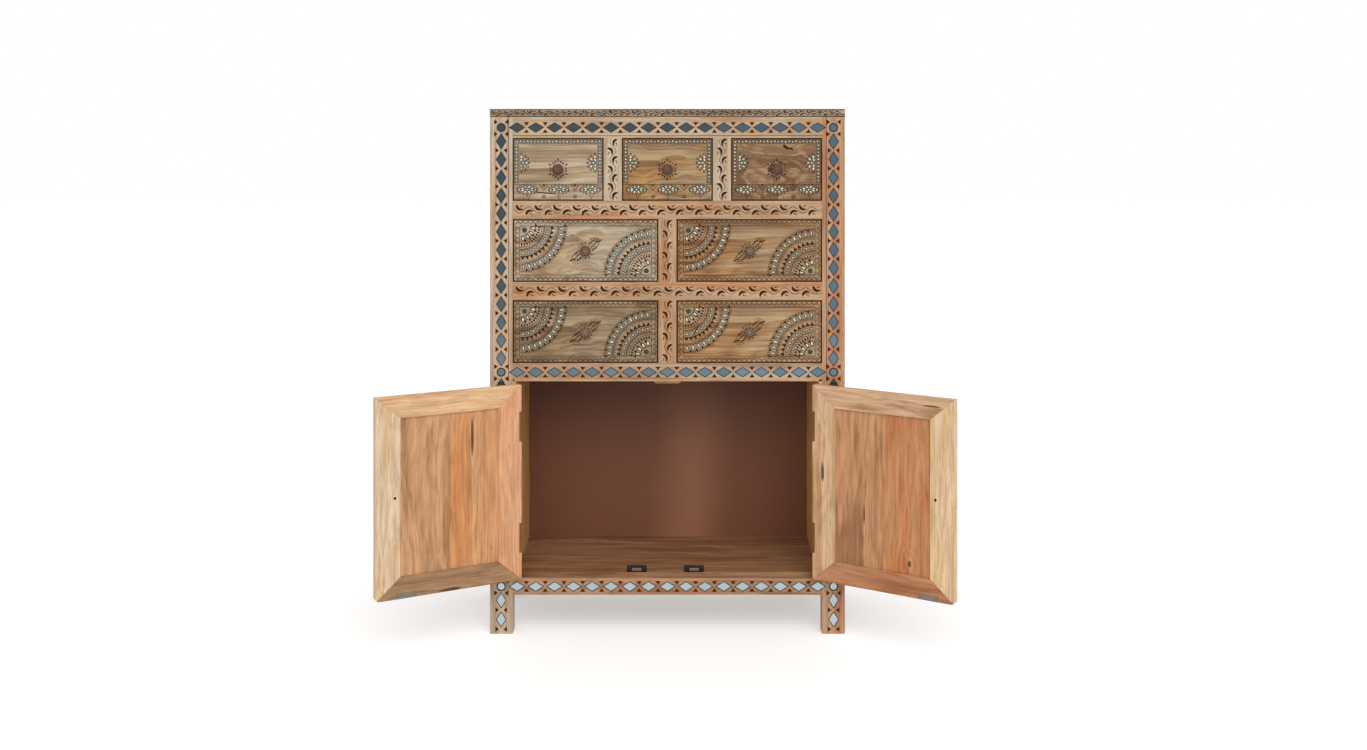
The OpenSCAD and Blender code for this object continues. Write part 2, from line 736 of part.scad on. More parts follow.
placed() drawer_box(narrow_x(1), narrow, upper_row_z);  // upper_middle_box
placed() drawer_bottom(narrow_x(1), narrow, upper_row_z);  // upper_middle_bottom
placed() drawer_knob(narrow_x(1), narrow, upper_row_z);  // upper_middle_knob
placed() drawer_front(narrow_x(2), narrow, upper_row_z);  // upper_right_front
placed() drawer_box(narrow_x(2), narrow, upper_row_z);  // upper_right_box
placed() drawer_bottom(narrow_x(2), narrow, upper_row_z);  // upper_right_bottom
placed() drawer_knob(narrow_x(2), narrow, upper_row_z);  // upper_right_knob
placed() drawer_front(wide_x(0), wide, middle_row_z);  // middle_left_front
placed() drawer_box(wide_x(0), wide, middle_row_z);  // middle_left_box
placed() drawer_bottom(wide_x(0), wide, middle_row_z);  // middle_left_bottom
placed() drawer_knob(wide_x(0), wide, middle_row_z);  // middle_left_knob
placed() drawer_front(wide_x(1), wide, middle_row_z);  // middle_right_front
placed() drawer_box(wide_x(1), wide, middle_row_z);  // middle_right_box
placed() drawer_bottom(wide_x(1), wide, middle_row_z);  // middle_right_bottom
placed() drawer_knob(wide_x(1), wide, middle_row_z);  // middle_right_knob
placed() drawer_front(wide_x(0), wide, lower_row_z);  // lower_left_front
placed() drawer_box(wide_x(0), wide, lower_row_z);  // lower_left_box
placed() drawer_bottom(wide_x(0), wide, lower_row_z);  // lower_left_bottom
placed() drawer_knob(wide_x(0), wide, lower_row_z);  // lower_left_knob
placed() drawer_front(wide_x(1), wide, lower_row_z);  // lower_right_front
placed() drawer_box(wide_x(1), wide, lower_row_z);  // lower_right_box
placed() drawer_bottom(wide_x(1), wide, lower_row_z);  // lower_right_bottom
placed() drawer_knob(wide_x(1), wide, lower_row_z);  // lower_right_knob
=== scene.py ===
"""A chest of drawers over a two-door cupboard, with diamond mirrors and carved bands on its front."""
import math
import random

import bmesh
import bpy
from mathutils import Matrix, Vector


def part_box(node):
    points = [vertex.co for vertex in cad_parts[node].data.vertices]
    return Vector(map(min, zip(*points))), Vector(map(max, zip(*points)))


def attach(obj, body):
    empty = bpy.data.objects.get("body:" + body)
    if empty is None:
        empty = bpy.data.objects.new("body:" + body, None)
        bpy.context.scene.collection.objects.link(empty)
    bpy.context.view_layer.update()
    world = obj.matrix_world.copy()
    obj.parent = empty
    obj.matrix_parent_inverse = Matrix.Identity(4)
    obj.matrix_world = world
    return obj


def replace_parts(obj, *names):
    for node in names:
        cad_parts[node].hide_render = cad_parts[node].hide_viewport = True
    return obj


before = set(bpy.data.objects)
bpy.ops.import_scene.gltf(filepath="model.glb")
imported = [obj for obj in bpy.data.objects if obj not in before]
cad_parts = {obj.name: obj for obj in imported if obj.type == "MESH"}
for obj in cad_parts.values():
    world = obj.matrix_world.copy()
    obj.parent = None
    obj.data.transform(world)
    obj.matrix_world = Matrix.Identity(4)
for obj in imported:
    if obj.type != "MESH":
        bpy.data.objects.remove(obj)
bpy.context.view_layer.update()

# The view: a level camera 1.3 m above the floor and 3.74 m in front of the chest.
# Its frame is shifted down, as in the photograph, so that upright edges stay upright.
front_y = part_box("bottom_rail")[0].y
lens = bpy.data.cameras.new("camera")
lens.sensor_width = 36
lens.lens = 38.9
lens.shift_x = 0.0063
lens.shift_y = -0.186
camera = bpy.data.objects.new("camera", lens)
camera.location = (0.019, front_y - 3.742, 1.3)
camera.rotation_euler = (math.radians(90), 0, 0)
bpy.context.scene.collection.objects.link(camera)
bpy.context.scene.camera = camera
bpy.context.scene.view_settings.view_transform = "Standard"


# The studio: a pale floor, a white surround and one broad soft lamp from the front, high up.
# The floor and the surround show as white, and the floor still takes the chest's shadow.
def add(tree, kind, values=None, **settings):
    """Adds a node to a tree; a value that is another node's socket is linked."""
    made = tree.nodes.new(kind)
    for name, value in settings.items():
        setattr(made, name, value)
    for key, value in (values or {}).items():
        if isinstance(value, bpy.types.NodeSocket):
            tree.links.new(value, made.inputs[key])
        else:
            made.inputs[key].default_value = value
    return made


def maths(tree, operation, a, b=0.0, clamp=False):
    return add(tree, "ShaderNodeMath", {0: a, 1: b}, operation=operation, use_clamp=clamp).outputs[0]


def product(tree, a, b):
    return maths(tree, "MULTIPLY", a, b)


def total(tree, a, b):
    return maths(tree, "ADD", a, b)


def seen_rays(tree):
    """1 for the rays that show the surround: straight, mirrored or through glass."""
    path = add(tree, "ShaderNodeLightPath")
    seen = maths(tree, "MAXIMUM", path.outputs["Is Camera Ray"], path.outputs["Is Glossy Ray"])
    return maths(tree, "MAXIMUM", seen, path.outputs["Is Transmission Ray"])


def new_material(name):
    made = bpy.data.materials.new(name)
    made.use_nodes = True
    made.node_tree.nodes.clear()
    return made, made.node_tree


ambient = 0.62
world = bpy.data.worlds.new("studio")
world.use_nodes = True
world.node_tree.nodes.clear()
strength = maths(world.node_tree, "MAXIMUM", seen_rays(world.node_tree), ambient)
sky = add(world.node_tree, "ShaderNodeBackground", {"Color": (1, 1, 1, 1), "Strength": strength})
add(world.node_tree, "ShaderNodeOutputWorld", {"Surface": sky.outputs[0]})
bpy.context.scene.world = world

lamp = bpy.data.lights.new("soft lamp", "SUN")
lamp.energy = 1.5
lamp.angle = math.radians(50)
lamp_holder = bpy.data.objects.new("soft lamp", lamp)
lamp_holder.rotation_euler = Vector((-0.15, 1.0, -0.75)).to_track_quat("-Z", "Y").to_euler()
bpy.context.scene.collection.objects.link(lamp_holder)

floor_paint, tree = new_material("floor paint")
pale = add(tree, "ShaderNodeBsdfDiffuse", {"Color": (0.8, 0.8, 0.8, 1)})
glow = product(tree, seen_rays(tree), 0.4)
glow = add(tree, "ShaderNodeEmission", {"Color": (1, 1, 1, 1), "Strength": glow})
both = add(tree, "ShaderNodeAddShader", {0: pale.outputs[0], 1: glow.outputs[0]})
add(tree, "ShaderNodeOutputMaterial", {"Surface": both.outputs[0]})
bpy.ops.mesh.primitive_plane_add(size=40, location=(0, 0, 0))
floor = bpy.context.object
floor.name = "floor"
floor.data.materials.append(floor_paint)


# The posts and the three mirrored rails: plain planed wood, joined flush at the front.
# Small three-sided chips are cut between the mirrors, and each mirror has its own seat.
mm = 0.001


def srgb(red, green, blue):
    """A colour as it is seen, 0 to 255, for a shader's socket."""
    def linear(value):
        value /= 255
        return value / 12.92 if value <= 0.04045 else ((value + 0.055) / 1.055) ** 2.4
    return (linear(red), linear(green), linear(blue), 1)


def new_group(name, kind, inputs, outputs):
    """A node group with named sockets; each input is its name, socket kind and value."""
    group = bpy.data.node_groups.new(name, kind)
    for label, socket_kind, value in inputs:
        socket = group.interface.new_socket(label, in_out="INPUT", socket_type="NodeSocket" + socket_kind)
        if value is not None:
            socket.default_value = value
    for label, socket_kind in outputs:
        group.interface.new_socket(label, in_out="OUTPUT", socket_type="NodeSocket" + socket_kind)
    return group, add(group, "NodeGroupInput").outputs, add(group, "NodeGroupOutput")


def mix(tree, share, a, b, blend="MIX"):
    """A colour between a and b."""
    made = add(tree, "ShaderNodeMix", {0: share, 6: a, 7: b}, data_type="RGBA", blend_type=blend)
    return made.outputs[2]


def ramp(tree, value, low, high):
    """0 below low, 1 above high, smooth between."""
    made = add(tree, "ShaderNodeMapRange", {"Value": value, "From Min": low, "From Max": high},
               interpolation_type="SMOOTHSTEP")
    return made.outputs["Result"]


def object_place(tree):
    return add(tree, "ShaderNodeTexCoord").outputs["Object"]


def separate(tree, vector):
    return add(tree, "ShaderNodeSeparateXYZ", {0: vector}).outputs


def combine(tree, x, y, z):
    return add(tree, "ShaderNodeCombineXYZ", {0: x, 1: y, 2: z}).outputs[0]


def vector_maths(tree, operation, a, b):
    return add(tree, "ShaderNodeVectorMath", {0: a, 1: b}, operation=operation).outputs[0]


def scaled(tree, vector, share):
    return add(tree, "ShaderNodeVectorMath", {0: vector, "Scale": share}, operation="SCALE").outputs[0]


def length_of(tree, vector):
    return add(tree, "ShaderNodeVectorMath", {0: vector}, operation="LENGTH").outputs["Value"]


def stretched_noise(tree, vector, scale, detail, roughness=0.5, distortion=0.0):
    """Noise whose frequency along each axis is in scale."""
    made = add(tree, "ShaderNodeTexNoise", {
        "Vector": vector_maths(tree, "MULTIPLY", vector, scale), "Scale": 1.0, "Detail": detail,
        "Roughness": roughness, "Distortion": distortion})
    return made.outputs["Fac"]


def bump_from(tree, height, strength, distance):
    return add(tree, "ShaderNodeBump", {
        "Strength": strength, "Distance": distance, "Height": height}).outputs[0]


def end_material(tree, values):
    """Ends a material in a Principled surface with these values."""
    surface = add(tree, "ShaderNodeBsdfPrincipled", values)
    add(tree, "ShaderNodeOutputMaterial", {"Surface": surface.outputs[0]})


def make_wood_grain():
    """Grain along the vector's X: growth rings, streaks, fibres, open pores, stains and a knot."""
    group, given, out = new_group("wood grain", "ShaderNodeTree", [
        ("Vector", "Vector", None), ("Tone", "Color", (0.6, 0.4, 0.2, 1)),
        ("Stain", "Color", (0.5, 0.3, 0.15, 1)), ("Stain Share", "Float", 0.5), ("Figure", "Float", 1.0),
        ("Contrast", "Float", 1.0), ("Knot", "Float", 0.0), ("Knot Length", "Float", 0.03),
        ("Knot Width", "Float", 0.006), ("Swirl", "Float", 0.0)],
        [("Color", "Color"), ("Height", "Float"), ("Roughness", "Float")])

    def noise(vector, *settings):
        return stretched_noise(group, vector, *settings)

    knot_size = combine(group, given["Knot Length"], given["Knot Width"], given["Knot Width"])
    away = length_of(group, vector_maths(group, "DIVIDE", given["Vector"], knot_size))
    pull = product(group, ramp(group, away, 5.0, 0.0), given["Knot"])
    core = product(group, ramp(group, away, 0.8, 0.45), given["Knot"])
    parted = maths(group, "DIVIDE", given["Knot"], total(group, product(group, away, away), 0.35))
    parted = maths(group, "SUBTRACT", 1.0, parted)
    bent = vector_maths(group, "MULTIPLY", given["Vector"], combine(group, 1.0, parted, parted))
    sway = product(group, maths(group, "SUBTRACT", noise(bent, (4, 5, 5), 1), 0.5), 0.034)
    burl = maths(group, "SUBTRACT", noise(bent, (9, 11, 11), 1), 0.5)
    sway = total(group, sway, product(group, burl, given["Swirl"]))
    bent = vector_maths(group, "ADD", bent, combine(group, 0.0, sway, sway))
    figured = scaled(group, bent, given["Figure"])
    phase = product(group, noise(figured, (1.2, 9, 9), 3, 0.5, 0.5), 52)
    rings = maths(group, "SINE", total(group, phase, product(group, pull, 14)))
    rings = product(group, total(group, rings, 1.0), 0.5)
    streaks = ramp(group, noise(figured, (2.2, 130, 130), 4, 0.62, 0.15), 0.36, 0.68)
    fibres = noise(bent, (6, 360, 360), 3, 0.6)
    pores = ramp(group, noise(bent, (30, 640, 640), 2), 0.6, 0.72)
    blots = ramp(group, noise(bent, (2.4, 20, 20), 4, 0.6), 0.47, 0.6)
    figure = total(group, product(group, rings, 0.27), product(group, streaks, 0.5))
    figure = total(group, figure, product(group, maths(group, "SUBTRACT", fibres, 0.3), 0.7))
    share = maths(group, "MULTIPLY", figure, given["Contrast"], clamp=True)
    light = mix(group, 1.0, given["Tone"], (1.22, 1.24, 1.26, 1), "MULTIPLY")
    dark = mix(group, 1.0, given["Tone"], (0.52, 0.45, 0.38, 1), "MULTIPLY")
    colour = mix(group, share, light, dark)
    stained = mix(group, 1.0, colour, given["Stain"], "MULTIPLY")
    colour = mix(group, product(group, blots, given["Stain Share"]), colour, stained)
    colour = mix(group, product(group, pores, 0.4), colour, (0.2, 0.13, 0.08, 1), "MULTIPLY")
    colour = mix(group, product(group, core, 0.85), colour, (0.05, 0.024, 0.012, 1))
    group.links.new(colour, out.inputs["Color"])
    height = maths(group, "SUBTRACT", product(group, fibres, 0.5), pores)
    group.links.new(height, out.inputs["Height"])
    group.links.new(total(group, product(group, pores, 0.2), 0.48), out.inputs["Roughness"])
    return group


wood_grain = make_wood_grain()
ALONG_X = (0, 0, 0)
ALONG_Z = (0, math.radians(-90), 0)
ALONG_Y = (0, 0, math.radians(90))


def make_wood(name, tone, stain, turn, origin, stain_share=0.6, figure=1.0, contrast=1.0, gloss=0.35,
              knot=None, cross=None, swirl=0.0):
    """Oiled wood whose grain runs along the turned X axis. A stain tints the tone, 255 is none.
    knot is the length and width, in millimetres, of a knot at the origin. Past the Y in cross,
    the grain runs along X. swirl bends the grain into a burl, by about a quarter of its metres."""
    made, tree = new_material(name)
    place = object_place(tree)
    laid = add(tree, "ShaderNodeMapping", {"Vector": place, "Location": origin, "Rotation": turn},
               vector_type="TEXTURE")
    laid = laid.outputs[0]
    if cross is not None:
        past = maths(tree, "GREATER_THAN", separate(tree, place)["Y"], cross)
        laid = add(tree, "ShaderNodeMix", {0: past, 4: laid, 5: place}, data_type="VECTOR").outputs[1]
    grain = add(tree, "ShaderNodeGroup", node_tree=wood_grain)
    tree.links.new(laid, grain.inputs["Vector"])
    tint = tuple(channel / 255 for channel in stain) + (1,)
    values = {"Tone": srgb(*tone), "Stain": tint, "Stain Share": stain_share, "Figure": figure,
              "Contrast": contrast, "Swirl": swirl}
    if knot:
        values.update({"Knot": 1.0, "Knot Length": knot[0] * mm * 0.75, "Knot Width": knot[1] * mm * 0.75})
    for key, value in values.items():
        grain.inputs[key].default_value = value
    end_material(tree, {
        "Base Color": grain.outputs["Color"], "Roughness": grain.outputs["Roughness"],
        "Normal": bump_from(tree, grain.outputs["Height"], 0.25, 0.6 * mm), "Specular IOR Level": gloss})
    return made


def make_plain(name, colour, roughness, metallic=0.0, spread=0.25, grain_size=220, gloss=0.5):
    """A finish with a little uneven tone, such as paint, metal or stain in a cut."""
    made, tree = new_material(name)
    place = object_place(tree)
    uneven = stretched_noise(tree, place, (grain_size,) * 3, 3)
    light = srgb(*colour)
    dark = tuple(channel * 0.35 for channel in light[:3]) + (1,)
    end_material(tree, {
        "Base Color": mix(tree, product(tree, uneven, spread), light, dark), "Roughness": roughness,
        "Metallic": metallic, "Normal": bump_from(tree, uneven, 0.15, 0.4 * mm), "Specular IOR Level": gloss})
    return made


frame_upright = make_wood("frame wood upright", (193, 170, 144), (250, 205, 165), ALONG_Z, (0.3, 0, 0), 0.7,
                          contrast=0.8)
ruddy_upright = make_wood("frame wood upright, ruddy", (188, 148, 114), (235, 175, 135), ALONG_Z,
                          (0.7, 0, 0.4), 0.9, contrast=0.8)
frame_level = make_wood("frame wood level", (192, 166, 136), (255, 205, 165), ALONG_X, (0, 0.4, 0), 0.7,
                        contrast=0.8)
cut_wood = make_plain("stained cuts", (76, 44, 28), 0.85, gloss=0.1)
ground = make_plain("waxed ground", (136, 124, 106), 0.7, 0.0, 0.5, 160)

CUTTERS = ("chip", "cup", "leaf", "lozenge", "round")
RIGHT, DOWN, LEFT, UP = (math.radians(angle) for angle in (0, 90, 180, -90))


def attribute(group, name, data_type="FLOAT_VECTOR"):
    return add(group, "GeometryNodeInputNamedAttribute", {"Name": name}, data_type=data_type).outputs[0]


def shape_of(group, holder):
    """The mesh of the object in a socket."""
    return add(group, "GeometryNodeObjectInfo", {"Object": holder}).outputs["Geometry"]


def stored(group, mesh, name, value, data_type="FLOAT", domain="FACE"):
    return add(group, "GeometryNodeStoreNamedAttribute", {
        "Geometry": mesh, "Name": name, "Value": value}, data_type=data_type, domain=domain).outputs[0]


def of_kind(group, cutter):
    """Chooses the points of a layout that ask for this cutter."""
    return add(group, "FunctionNodeCompare", {2: attribute(group, "kind", "INT"), 3: CUTTERS.index(cutter)},
               data_type="INT", operation="EQUAL").outputs[0]


def random_value(group, low, high, seed):
    made = add(group, "FunctionNodeRandomValue", {2: low, 3: high, "Seed": seed}, data_type="FLOAT")
    return made.outputs[1]


def cut_from(group, mesh, tool):
    return add(group, "GeometryNodeMeshBoolean", {"Mesh 1": mesh, "Mesh 2": tool}, operation="DIFFERENCE",
               solver="MANIFOLD").outputs[0]


def instances(group, points, shape, turn, **more):
    """A copy of the shape on each point."""
    return add(group, "GeometryNodeInstanceOnPoints", {
        "Points": points, "Instance": shape, "Rotation": turn, **more}).outputs[0]


def realized(group, geometry, material):
    """Real meshes instead of instances, in one material."""
    real = add(group, "GeometryNodeRealizeInstances", {"Geometry": geometry}).outputs[0]
    return add(group, "GeometryNodeSetMaterial", {"Geometry": real, "Material": material}).outputs[0]


def make_carving():
    """Cuts shaped tools out of a board: Layout holds their places, Lines the grooves."""
    group, given, out = new_group("chip carving", "GeometryNodeTree", [
        ("Geometry", "Geometry", None), ("Layout", "Object", None), ("Lines", "Object", None),
        ("Wood", "Material", None), ("Cut", "Material", None), ("Recesses", "Object", None),
        ("Ground", "Material", None), ("Groove Width", "Float", 1.3 * mm), ("Leaf Width", "Float", 7.0 * mm),
        ("Leaf Radius", "Float", 10.4 * mm), ("Leaf Start", "Float", 172.0), ("Leaf Sweep", "Float", 145.0)],
        [("Geometry", "Geometry")])

    def moved(mesh, **changes):
        named = {key.capitalize(): value for key, value in changes.items()}
        return add(group, "GeometryNodeTransform", {"Geometry": mesh, **named}).outputs[0]

    lying = (math.radians(-90), 0, 0)
    oversize = 1 / 0.85
    corner = add(group, "GeometryNodeMeshCone", {
        "Vertices": 3, "Radius Bottom": 1.0, "Depth": 1.0}).outputs[0]
    chip = moved(moved(moved(corner, rotation=lying), translation=(-0.25, -0.15, 0)),
                 scale=(oversize / 1.5, 1, oversize / 1.732))
    bowl = add(group, "GeometryNodeMeshCone", {
        "Vertices": 8, "Radius Bottom": 0.5, "Radius Top": 0.3, "Depth": 1.0}).outputs[0]
    cup = moved(moved(bowl, rotation=lying), translation=(0, -0.1, 0))
    bend = add(group, "GeometryNodeCurveArc", {
        "Resolution": 12, "Radius": given["Leaf Radius"],
        "Start Angle": maths(group, "RADIANS", given["Leaf Start"]),
        "Sweep Angle": maths(group, "RADIANS", given["Leaf Sweep"])}, mode="RADIUS").outputs["Curve"]
    along = add(group, "GeometryNodeSplineParameter").outputs["Factor"]
    swell = maths(group, "SINE", product(group, maths(group, "POWER", along, 0.75), math.pi))
    swell = maths(group, "POWER", maths(group, "MAXIMUM", swell, 0.03), 0.7)
    bend = add(group, "GeometryNodeSetCurveRadius", {"Curve": bend, "Radius": swell}).outputs[0]
    gouge = add(group, "GeometryNodeCurvePrimitiveCircle", {
        "Resolution": 8, "Radius": product(group, given["Leaf Width"], 0.5)}).outputs["Curve"]
    leaf = add(group, "GeometryNodeCurveToMesh", {
        "Curve": bend, "Profile Curve": gouge, "Scale": swell, "Fill Caps": True}).outputs[0]
    leaf = moved(leaf, rotation=(math.radians(90), 0, 0))
    four = add(group, "GeometryNodeMeshCylinder", {"Vertices": 4, "Radius": 0.5, "Depth": 2.0}).outputs[0]
    drum = add(group, "GeometryNodeMeshCylinder", {"Vertices": 40, "Radius": 0.5, "Depth": 2.0}).outputs[0]
    shapes = (chip, cup, leaf, moved(four, rotation=lying), moved(drum, rotation=lying))

    places = shape_of(group, given["Layout"])
    turn, size = attribute(group, "turn"), attribute(group, "size")
    tools = add(group, "GeometryNodeJoinGeometry")
    for cutter, shape in zip(CUTTERS, shapes):
        tool = instances(group, places, stored(group, shape, "cut", 1.0), turn,
                         Selection=of_kind(group, cutter), Scale=size)
        group.links.new(tool, tools.inputs[0])
    ends_of = add(group, "GeometryNodeInputMeshEdgeVertices").outputs
    span = vector_maths(group, "SUBTRACT", ends_of["Position 2"], ends_of["Position 1"])
    line = stored(group, shape_of(group, given["Lines"]), "span", span, "FLOAT_VECTOR", "EDGE")
    line = add(group, "GeometryNodeMeshToPoints", {"Mesh": line}, mode="EDGES").outputs[0]
    span = attribute(group, "span")
    length = length_of(group, span)
    lean = add(group, "FunctionNodeAlignRotationToVector", {"Vector": span}, axis="X").outputs[0]
    bar = add(group, "GeometryNodeMeshCylinder", {"Vertices": 6, "Radius": 0.5, "Depth": 1.0}).outputs[0]
    roll = random_value(group, 0.0, math.radians(60), 3)
    roll = add(group, "FunctionNodeAxisAngleToRotation", {"Axis": (1, 0, 0), "Angle": roll}).outputs[0]
    lean = add(group, "FunctionNodeRotateRotation", {"Rotation": lean, "Rotate By": roll},
               rotation_space="LOCAL").outputs[0]
    width = product(group, given["Groove Width"], random_value(group, 0.94, 1.06, 5))
    long = total(group, length, product(group, given["Groove Width"], 0.6))
    bar = stored(group, moved(bar, rotation=(0, math.radians(90), 0)), "cut", 1.0)
    grooves = instances(group, line, bar, lean, Scale=combine(group, long, width, width))
    group.links.new(grooves, tools.inputs[0])
    sunk = stored(group, shape_of(group, given["Recesses"]), "cut", 2.0)
    carved = cut_from(group, stored(group, given["Geometry"], "cut", 0.0), sunk)
    planed = realized(group, cut_from(group, carved, tools.outputs[0]), given["Wood"])
    cuts = attribute(group, "cut", "FLOAT")
    for least, finish in ((0.5, "Cut"), (1.5, "Ground")):
        above = add(group, "FunctionNodeCompare", {0: cuts, 1: least}, data_type="FLOAT",
                    operation="GREATER_THAN").outputs[0]
        planed = add(group, "GeometryNodeSetMaterial", {
            "Geometry": planed, "Material": given[finish], "Selection": above}).outputs[0]
    group.links.new(planed, out.inputs["Geometry"])
    return group


carving = make_carving()


def link(name, mesh):
    made = bpy.data.objects.new(name, mesh)
    bpy.context.scene.collection.objects.link(made)
    return made


def finished(name, shape):
    """The object for a closed shape, its faces turned outwards."""
    bmesh.ops.recalc_face_normals(shape, faces=shape.faces)
    mesh = bpy.data.meshes.new(name)
    shape.to_mesh(mesh)
    shape.free()
    return link(name, mesh)


def at_front(made):
    """Sets a piece that was made at Y = 0 to the chest's front."""
    made.data.transform(Matrix.Translation((0, front_y, 0)))
    return made


ROUNDED = 3.5


def board(name, low, high, ease, rounded=None):
    """A squared board between two corners, in millimetres from the front, with eased edges.
    rounded is the X of an upright front edge that is rounded more."""
    low, high = Vector(low) * mm, Vector(high) * mm
    shape = bmesh.new()
    bmesh.ops.create_cube(shape, size=1)
    bmesh.ops.scale(shape, vec=high - low, verts=shape.verts)
    bmesh.ops.translate(shape, vec=(low + high) / 2, verts=shape.verts)
    if rounded is not None:
        worn = [e for e in shape.edges if all(abs(v.co.x - rounded * mm) < 1e-6 and abs(v.co.y - low.y) < 1e-6
                                              for v in e.verts)]
        bmesh.ops.bevel(shape, geom=worn, offset=ROUNDED * mm, segments=4, profile=0.5, affect="EDGES")
        edges = [e for e in shape.edges if e.calc_face_angle(0) > math.radians(40)]
    else:
        edges = shape.edges[:]
    bmesh.ops.bevel(shape, geom=edges, offset=ease * mm, segments=2, profile=0.5, affect="EDGES")
    return finished(name, shape)


def layout(marks):
    """A point for each mark, on the face Y = 0. A mark is kind, x, z, turn, size in millimetres and,
    where it is flipped over, True."""
    mesh = bpy.data.meshes.new("layout")
    mesh.from_pydata([(mark[1] * mm, 0, mark[2] * mm) for mark in marks], [], [])
    for label, data_type in (("kind", "INT"), ("turn", "FLOAT_VECTOR"), ("size", "FLOAT_VECTOR")):
        mesh.attributes.new(label, data_type, "POINT")
    for i, mark in enumerate(marks):
        size = Vector(mark[4]) * (1 if mark[0] == "leaf" else mm)
        mesh.attributes["kind"].data[i].value = CUTTERS.index(mark[0]) if mark[0] in CUTTERS else 0
        mesh.attributes["turn"].data[i].vector = (math.pi if len(mark) > 5 and mark[5] else 0, mark[3], 0)
        mesh.attributes["size"].data[i].vector = size
    return link("layout", mesh)


def lines(paths):
    """Edges for the grooves: each path is a list of x and z, closed where its ends meet."""
    points, edges = [], []
    for path in paths:
        start = len(points)
        closed = len(path) > 2 and (Vector(path[0]) - Vector(path[-1])).length < 1e-6
        if closed:
            path = path[:-1]
        points += [(x * mm, 0, z * mm) for x, z in path]
        edges += [(start + i, start + i + 1) for i in range(len(path) - 1)]
        if closed:
            edges.append((start + len(path) - 1, start))
    mesh = bpy.data.meshes.new("lines")
    mesh.from_pydata(points, edges, [])
    return link("lines", mesh)


def extruded(shape, outline, front, back):
    """Adds a block to a shape: its outline in X and Z, between two depths."""
    face = shape.faces.new([shape.verts.new((x * mm, front * mm, z * mm)) for x, z in outline])
    grown = bmesh.ops.extrude_face_region(shape, geom=[face])["geom"]
    bmesh.ops.translate(shape, vec=(0, (back - front) * mm, 0),
                        verts=[v for v in grown if isinstance(v, bmesh.types.BMVert)])


def recesses(outlines):
    """Blocks that sink the ground half a millimetre: each outline is a list of x and z."""
    shape = bmesh.new()
    for outline in outlines:
        extruded(shape, outline, -1, 0.5)
    return finished("recesses", shape)


def baked(holder, group, values):
    """The holder after a node group, as a plain mesh."""
    modifier = holder.modifiers.new("nodes", "NODES")
    modifier.node_group = group
    for item in group.interface.items_tree:
        if item.item_type == "SOCKET" and item.in_out == "INPUT" and item.name in values:
            modifier[item.identifier] = values[item.name]
    mesh = bpy.data.meshes.new_from_object(holder.evaluated_get(bpy.context.evaluated_depsgraph_get()))
    name = holder.name
    bpy.data.objects.remove(holder)
    return link(name, mesh)


CELL = 11.3


def split_face(mesh):
    """Splits a blank's front face into cells, so that no carved face grows large and ragged."""
    shape = bmesh.new()
    shape.from_mesh(mesh)
    front = max(shape.faces, key=lambda face: -face.normal.y * face.calc_area())
    corners = [vert.co.copy() for vert in front.verts]
    geom = [front] + front.edges[:] + front.verts[:]
    for axis in (0, 2):
        low, high = min(co[axis] for co in corners), max(co[axis] for co in corners)
        count = round((high - low) / (CELL * mm))
        along = Vector((axis == 0, 0, axis == 2))
        for i in range(1, count):
            spot = corners[0] + along * (low + (high - low) * i / count - corners[0][axis])
            geom = bmesh.ops.bisect_plane(shape, geom=geom, plane_co=spot, plane_no=along)["geom"]
    shape.to_mesh(mesh)
    shape.free()


def carve(blank, wood, marks, paths, cut=None, groove=1.5, sunk=(), floor=None):
    """Cuts marks, grooves and sunk grounds into the face of a blank, then sets it at the chest's front."""
    blank.data.materials.append(wood)
    split_face(blank.data)
    spots, strokes, grounds = layout(marks), lines(paths), recesses(sunk)
    made = baked(blank, carving, {
        "Layout": spots, "Lines": strokes, "Wood": wood, "Cut": cut or cut_wood, "Recesses": grounds,
        "Ground": floor or ground, "Groove Width": groove * mm})
    for helper in (spots, strokes, grounds):
        bpy.data.objects.remove(helper)
    return at_front(made)


def ends(node):
    """A node's corners in millimetres, with the front of the chest at Y = 0."""
    low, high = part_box(node)
    shift = Vector((0, front_y, 0))
    return (low - shift) / mm, (high - shift) / mm


post_low, post_high = ends("front_post_left")
inner_x = -post_high.x
post_x = -(post_low.x + post_high.x) / 2
outer_x = 450
LINING_H = 499
batten_z = ends("cupboard_linings")[0].z + LINING_H
head_z = ends("head_rail")
rail_z = [(ends("top_rail")[0].z + ends("top_rail")[1].z) / 2, (batten_z + head_z[1].z) / 2,
          (ends("bottom_rail")[0].z + ends("bottom_rail")[1].z) / 2]
RAIL_MIRRORS = 17
MIRROR_END = 11
mirror_step = 2 * (inner_x - MIRROR_END) / (RAIL_MIRRORS - 1)
mirror_xs = [-inner_x + MIRROR_END + i * mirror_step for i in range(RAIL_MIRRORS)]
LOZENGE = (42.8, 2.2, 26.8)
ROUND = (23.2, 2.2, 23.2)
ROUND_STEP = 35
POST_PITCH = 46


def post_column(high, low):
    """Middles of the diamonds between two round mirrors."""
    span = high - low - 2 * ROUND_STEP
    count = round(span / POST_PITCH)
    return [high - ROUND_STEP - i * span / count for i in range(count + 1)]


post_zs = [post_column(rail_z[0], rail_z[1]), post_column(rail_z[1], rail_z[2]),
           [rail_z[2] - ROUND_STEP, rail_z[2] - 83.5]]


def chip(x, z, turn, width=13.6, height=9.2, depth=3.4):
    """A three-sided chip whose point looks along turn."""
    return ("chip", x, z, turn, (height, depth, width))


def chip_pair(x, z, off=9.9):
    """A chip at each side of a place, looking at it."""
    return [chip(x - off, z, RIGHT), chip(x + off, z, LEFT)]


